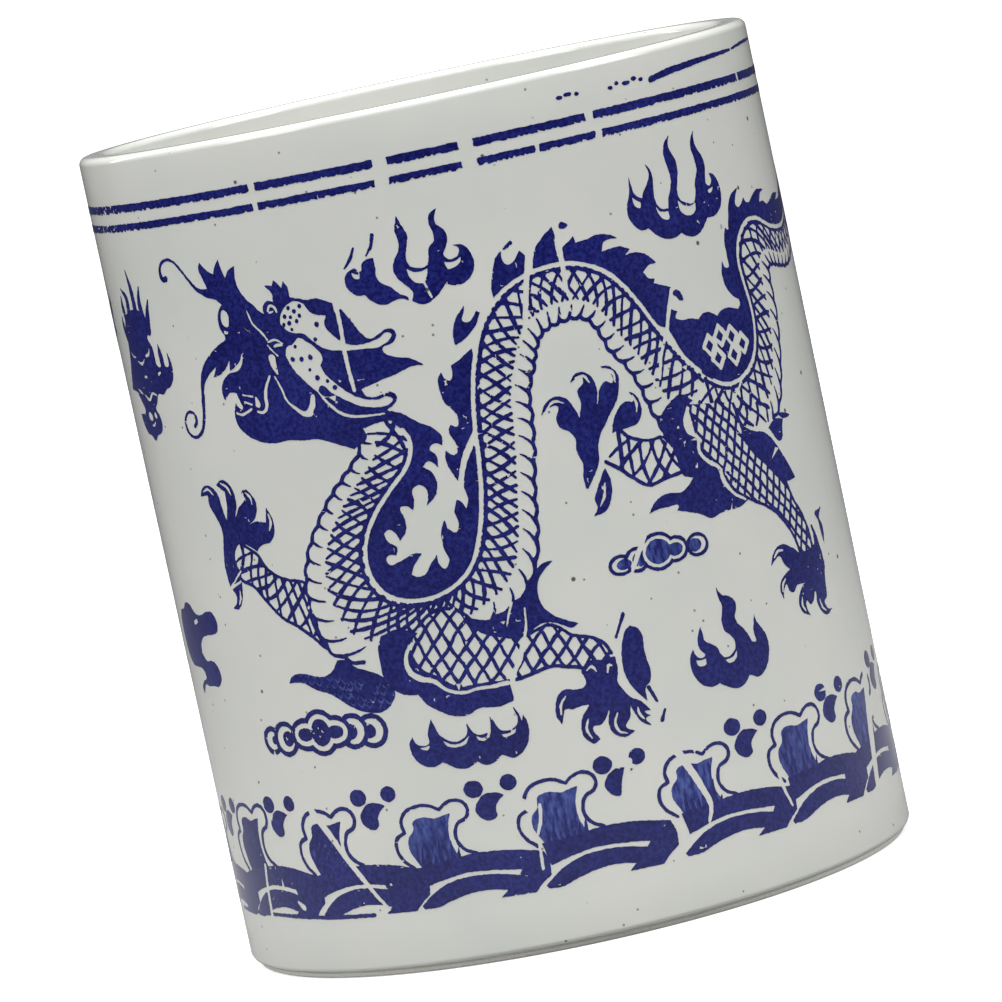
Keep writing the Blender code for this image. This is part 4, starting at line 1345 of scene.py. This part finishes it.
def noise(nodes, links, place, scale, detail=2.0, roughness=0.5):
    """Noise with about scale features to the metre."""
    node = nodes.new("ShaderNodeTexNoise")
    node.inputs["Scale"].default_value = scale
    node.inputs["Detail"].default_value = detail
    node.inputs["Roughness"].default_value = roughness
    links.new(place, node.inputs["Vector"])
    return node.outputs["Fac"]


def ramp(nodes, links, value, stops):
    node = nodes.new("ShaderNodeValToRGB")
    while len(node.color_ramp.elements) < len(stops):
        node.color_ramp.elements.new(0.5)
    for element, (place, colour) in zip(node.color_ramp.elements, stops):
        element.position = place
        element.color = (*colour, 1.0)
    links.new(value, node.inputs["Fac"])
    return node.outputs["Color"]


def mixed(nodes, links, factor, a, b, blend="MIX"):
    node = nodes.new("ShaderNodeMix")
    node.data_type = "RGBA"
    node.blend_type = blend
    for value, socket in ((factor, node.inputs[0]), (a, node.inputs[6]), (b, node.inputs[7])):
        if isinstance(value, bpy.types.NodeSocket):
            links.new(value, socket)
        else:
            socket.default_value = (*value, 1.0) if isinstance(value, tuple) else value
    return node.outputs[2]


def multiplied(nodes, links, a, b):
    return mixed(nodes, links, 1.0, a, b, "MULTIPLY")


def bump(nodes, links, shader, height, distance):
    node = nodes.new("ShaderNodeBump")
    node.inputs["Distance"].default_value = distance
    node.inputs["Strength"].default_value = 1.0
    links.new(height, node.inputs["Height"])
    links.new(node.outputs["Normal"], shader.inputs["Normal"])


def glaze(nodes, links, shader, place):
    """The clear glaze over white and blue alike, very slightly uneven."""
    shader.inputs["Roughness"].default_value = 0.08
    shader.inputs["IOR"].default_value = 1.5
    bump(nodes, links, shader, noise(nodes, links, place, 120.0), 0.00006)


def specks(nodes, links, place, size, share, strength):
    """1 nearly everywhere and lower on small scattered specks, size m apart, on a share of the cells."""
    cells = nodes.new("ShaderNodeTexVoronoi")
    cells.inputs["Scale"].default_value = 1.0 / size
    links.new(place, cells.inputs["Vector"])
    pick = nodes.new("ShaderNodeSeparateColor")
    links.new(cells.outputs["Color"], pick.inputs["Color"])
    picked = ramp(nodes, links, pick.outputs["Red"], [(share, WHITE), (share + 0.01, BLACK)])
    spread = ramp(nodes, links, cells.outputs["Distance"], [(0.07, WHITE), (0.1, BLACK)])
    both = multiplied(nodes, links, picked, spread)
    return ramp(nodes, links, both, [(0.0, WHITE), (1.0, (strength, strength, strength))])


def glaze_white():
    """Clear glaze on porcelain: greyish white, faintly uneven, with iron specks."""
    material, nodes, links, shader = new_material("clear_glaze_on_porcelain")
    place = nodes.new("ShaderNodeTexCoord").outputs["Object"]
    cloudy = noise(nodes, links, place, 45.0, 3.0)
    colour = ramp(nodes, links, cloudy, [(0.3, (0.580, 0.598, 0.560)), (0.7, (0.630, 0.632, 0.592))])
    for size, share, strength in ((0.0022, 0.3, 0.3), (0.0038, 0.12, 0.15)):
        colour = multiplied(nodes, links, colour, specks(nodes, links, place, size, share, strength))
    links.new(colour, shader.inputs["Base Color"])
    glaze(nodes, links, shader, place)
    return material


def cobalt(name, thin, thick, streak, size):
    """Cobalt under the glaze: between two colours as the ink lay thin or thick, streaked upright."""
    material, nodes, links, shader = new_material(name)
    place = nodes.new("ShaderNodeTexCoord").outputs["Object"]
    stretch = nodes.new("ShaderNodeMapping")
    stretch.inputs["Scale"].default_value = (1.0, 1.0, streak)
    links.new(place, stretch.inputs["Vector"])
    fine = noise(nodes, links, stretch.outputs["Vector"], 1.0 / size, 2.0, 0.6)
    broad = noise(nodes, links, place, 90.0, 3.0, 0.6)
    tone = ramp(nodes, links, fine, [(0.38, thick), (0.66, thin)])
    depth = ramp(nodes, links, broad, [(0.35, (0.78, 0.78, 0.84)), (0.7, (1.2, 1.2, 1.12))])
    links.new(multiplied(nodes, links, tone, depth), shader.inputs["Base Color"])
    glaze(nodes, links, shader, place)
    return material


def cobalt_line():
    return cobalt("cobalt_line", (0.014, 0.020, 0.165), (0.004, 0.005, 0.090), 1.0, 0.0006)


def cobalt_wash():
    return cobalt("cobalt_wash", (0.055, 0.085, 0.30), (0.008, 0.012, 0.13), 0.35, 0.0007)


def bare_clay():
    material, nodes, links, shader = new_material("bare_porcelain")
    place = nodes.new("ShaderNodeTexCoord").outputs["Object"]
    grain = noise(nodes, links, place, 2500.0, 4.0, 0.7)
    tone = ramp(nodes, links, grain, [(0.3, (0.66, 0.64, 0.59)), (0.7, (0.78, 0.77, 0.73))])
    links.new(tone, shader.inputs["Base Color"])
    shader.inputs["Roughness"].default_value = 0.8
    bump(nodes, links, shader, grain, 0.00006)
    return material


# ---- The pot -----------------------------------------------------------------------------------------

ROUNDING = 8  # steps in each rounded edge
UNDERSIDE = 0.040  # radius of the flat middle of the underside


def arc(r, z, radius, start, stop, steps):
    angles = [math.radians(start + (stop - start) * k / steps) for k in range(steps + 1)]
    return [(r + radius * math.cos(a), z + radius * math.sin(a)) for a in angles]


def between(first, last, steps):
    """Points that divide the way between two points of a profile, without those two."""
    return [tuple(a + (b - a) * k / steps for a, b in zip(first, last)) for k in range(1, steps)]


def spun(name, profile, segments):
    """A mesh turned from a profile of (r, z) points that starts on the axis, or else is a loop."""
    shape = bmesh.new()
    corners = [shape.verts.new((r, 0.0, z)) for r, z in profile]
    pairs = list(zip(corners, corners[1:]))
    if profile[0][0] > 0:
        pairs.append((corners[-1], corners[0]))
    edges = [shape.edges.new(pair) for pair in pairs]
    turn = {"cent": (0, 0, 0), "axis": (0, 0, 1), "angle": math.tau, "steps": segments, "use_merge": True}
    bmesh.ops.spin(shape, geom=corners + edges, **turn)
    bmesh.ops.remove_doubles(shape, verts=shape.verts, dist=1e-6)
    bmesh.ops.dissolve_degenerate(shape, edges=shape.edges, dist=1e-7)
    bmesh.ops.recalc_face_normals(shape, faces=shape.faces)
    mesh = bpy.data.meshes.new(name)
    shape.to_mesh(mesh)
    shape.free()
    return mesh


def glazed_body(material):
    """Everything under glaze, as one skin: wall, lip, inside, floor and the recess under it."""
    profile = [
        (0.0, BASE),
        *between((0.0, BASE), (UNDERSIDE, BASE), 6),
        (UNDERSIDE, BASE),
        *arc(RADIUS - HEEL, BASE + HEEL, HEEL, -90, 0, ROUNDING),
        *between((RADIUS, BASE + HEEL), (RADIUS, HEIGHT - LIP), 24),
        *arc(RADIUS - LIP, HEIGHT - LIP, LIP, 0, 90, ROUNDING),
        *arc(BORE + LIP, HEIGHT - LIP, LIP, 90, 180, ROUNDING),
        *between((BORE, HEIGHT - LIP), (BORE, FLOOR_Z + FILLET), 12),
        *arc(BORE - FILLET, FLOOR_Z + FILLET, FILLET, 0, -90, ROUNDING),
        (0.0, FLOOR_Z),
    ]
    body = placed("glazed_body", spun("glazed_body", profile, 512), material)
    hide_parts("wall", "floor_disc")


def bare_foot(material):
    """The foot ring, wiped clean of glaze."""
    inside = FOOT_OUTER - FOOT_WIDTH
    profile = [
        *arc(inside + FOOT_EDGE, FOOT_EDGE, FOOT_EDGE, 180, 270, 6),
        *arc(FOOT_OUTER - FOOT_EDGE, FOOT_EDGE, FOOT_EDGE, -90, 0, 6),
        (FOOT_OUTER, BASE + FOOT_SUNK),
        (inside, BASE + FOOT_SUNK),
    ]
    foot = placed("bare_foot", spun("bare_foot", profile, 256), material)
    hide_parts("foot_ring")


# ---- Stage -------------------------------------------------------------------------------------------

AIM = Vector((0.0003, 0.0, 0.0582))
DISTANCE = 0.9334
ELEVATION = math.radians(5.624)
ROLL = math.radians(-12.029)
LENS = 231.3  # mm, on a 36 mm sensor
LAMP_AIM = Vector((0, 0, 0.06))
TABLE = 1.5  # radius of the flat floor
SWEEP = 0.7  # radius of the curve that joins it to the wall behind
BACKDROP_TOP = 2.0
# Grey of the floor as the pot mirrors it, against the distance from the axis.
MIRRORED = ((0.12, (0.3, 0.3, 0.3)), (0.4, (0.1, 0.1, 0.11)), (0.75, (0.06, 0.06, 0.07)))
# Each lamp: its name, size, place and power in watts.
LAMPS = (
    ("key", (0.9, 0.9), (-1.3, -0.9, 0.9), 13.5),
    ("fill", (0.9, 0.9), (1.5, -0.5, 0.9), 15.5),
    ("top", (1.0, 1.0), (0.0, -0.4, 1.5), 31),
    ("edge_strip", (0.12, 1.0), (-0.75, 0.55, 0.75), 3),
)


def aimed(name, data, place, target, roll=0.0):
    """A camera or lamp at a place, looking at a target."""
    obj = bpy.data.objects.new(name, data)
    obj.location = place
    obj.rotation_mode = "QUATERNION"
    way = target - obj.location
    obj.rotation_quaternion = way.to_track_quat("-Z", "Y") @ Quaternion((0, 0, 1), roll)
    bpy.context.scene.collection.objects.link(obj)
    return obj


def camera():
    data = bpy.data.cameras.new("camera")
    data.lens = LENS
    data.sensor_width = 36.0
    data.clip_start, data.clip_end = 0.05, 20.0
    middle = Vector((0, 0, HEIGHT / 2))
    place = middle + DISTANCE * Vector((0, -math.cos(ELEVATION), math.sin(ELEVATION)))
    bpy.context.scene.camera = aimed("camera", data, place, AIM, ROLL)


def lamp(name, size, place, power):
    data = bpy.data.lights.new(name, "AREA")
    data.shape = "RECTANGLE"
    data.size, data.size_y = size
    data.energy = power
    aimed(name, data, place, LAMP_AIM)


def by_ray(nodes, links, kind, usual, special):
    """A colour that is special for one kind of light path and usual for all others."""
    ray = nodes.new("ShaderNodeLightPath").outputs[kind]
    return mixed(nodes, links, ray, usual, special)


def paper():
    """Pale to the camera. The pot mirrors only the part near it."""
    material, nodes, links, shader = new_material("pale_paper")
    place = nodes.new("ShaderNodeTexCoord").outputs["Object"]
    length = nodes.new("ShaderNodeVectorMath")
    length.operation = "LENGTH"
    links.new(place, length.inputs[0])
    fading = ramp(nodes, links, length.outputs["Value"], MIRRORED)
    colour = by_ray(nodes, links, "Is Camera Ray", fading, (0.95, 0.95, 0.95))
    links.new(colour, shader.inputs["Base Color"])
    glow = by_ray(nodes, links, "Is Camera Ray", (0.0, 0.0, 0.0), (0.5, 0.5, 0.5))
    links.new(glow, shader.inputs["Emission Color"])
    shader.inputs["Emission Strength"].default_value = 1.0
    shader.inputs["Roughness"].default_value = 0.9
    return material


def backdrop():
    """A floor that sweeps up into a round wall."""
    sweep = arc(TABLE, SWEEP, SWEEP, -90, 0, 12)
    profile = [(0.0, 0.0), (TABLE, 0.0), *sweep, (TABLE + SWEEP, BACKDROP_TOP)]
    mesh = spun("floor", profile, 64)
    mesh.shade_smooth()
    mesh.materials.append(paper())
    floor = bpy.data.objects.new("floor", mesh)
    bpy.context.scene.collection.objects.link(floor)


def surround():
    """An even pale world that the glaze mirrors only faintly."""
    world = bpy.data.worlds.new("studio")
    world.use_nodes = True
    nodes, links = world.node_tree.nodes, world.node_tree.links
    colour = by_ray(nodes, links, "Is Glossy Ray", (1.0, 1.0, 1.0), (0.15, 0.15, 0.16))
    links.new(colour, nodes["Background"].inputs["Color"])
    nodes["Background"].inputs["Strength"].default_value = 0.7
    bpy.context.scene.world = world


def stage():
    camera()
    backdrop()
    surround()
    for name, size, place, power in LAMPS:
        lamp(name, size, place, power)
    bpy.context.scene.view_settings.view_transform = "Standard"


stage()
glazed_body(glaze_white())
bare_foot(bare_clay())
whole_print(cobalt_line(), cobalt_wash())
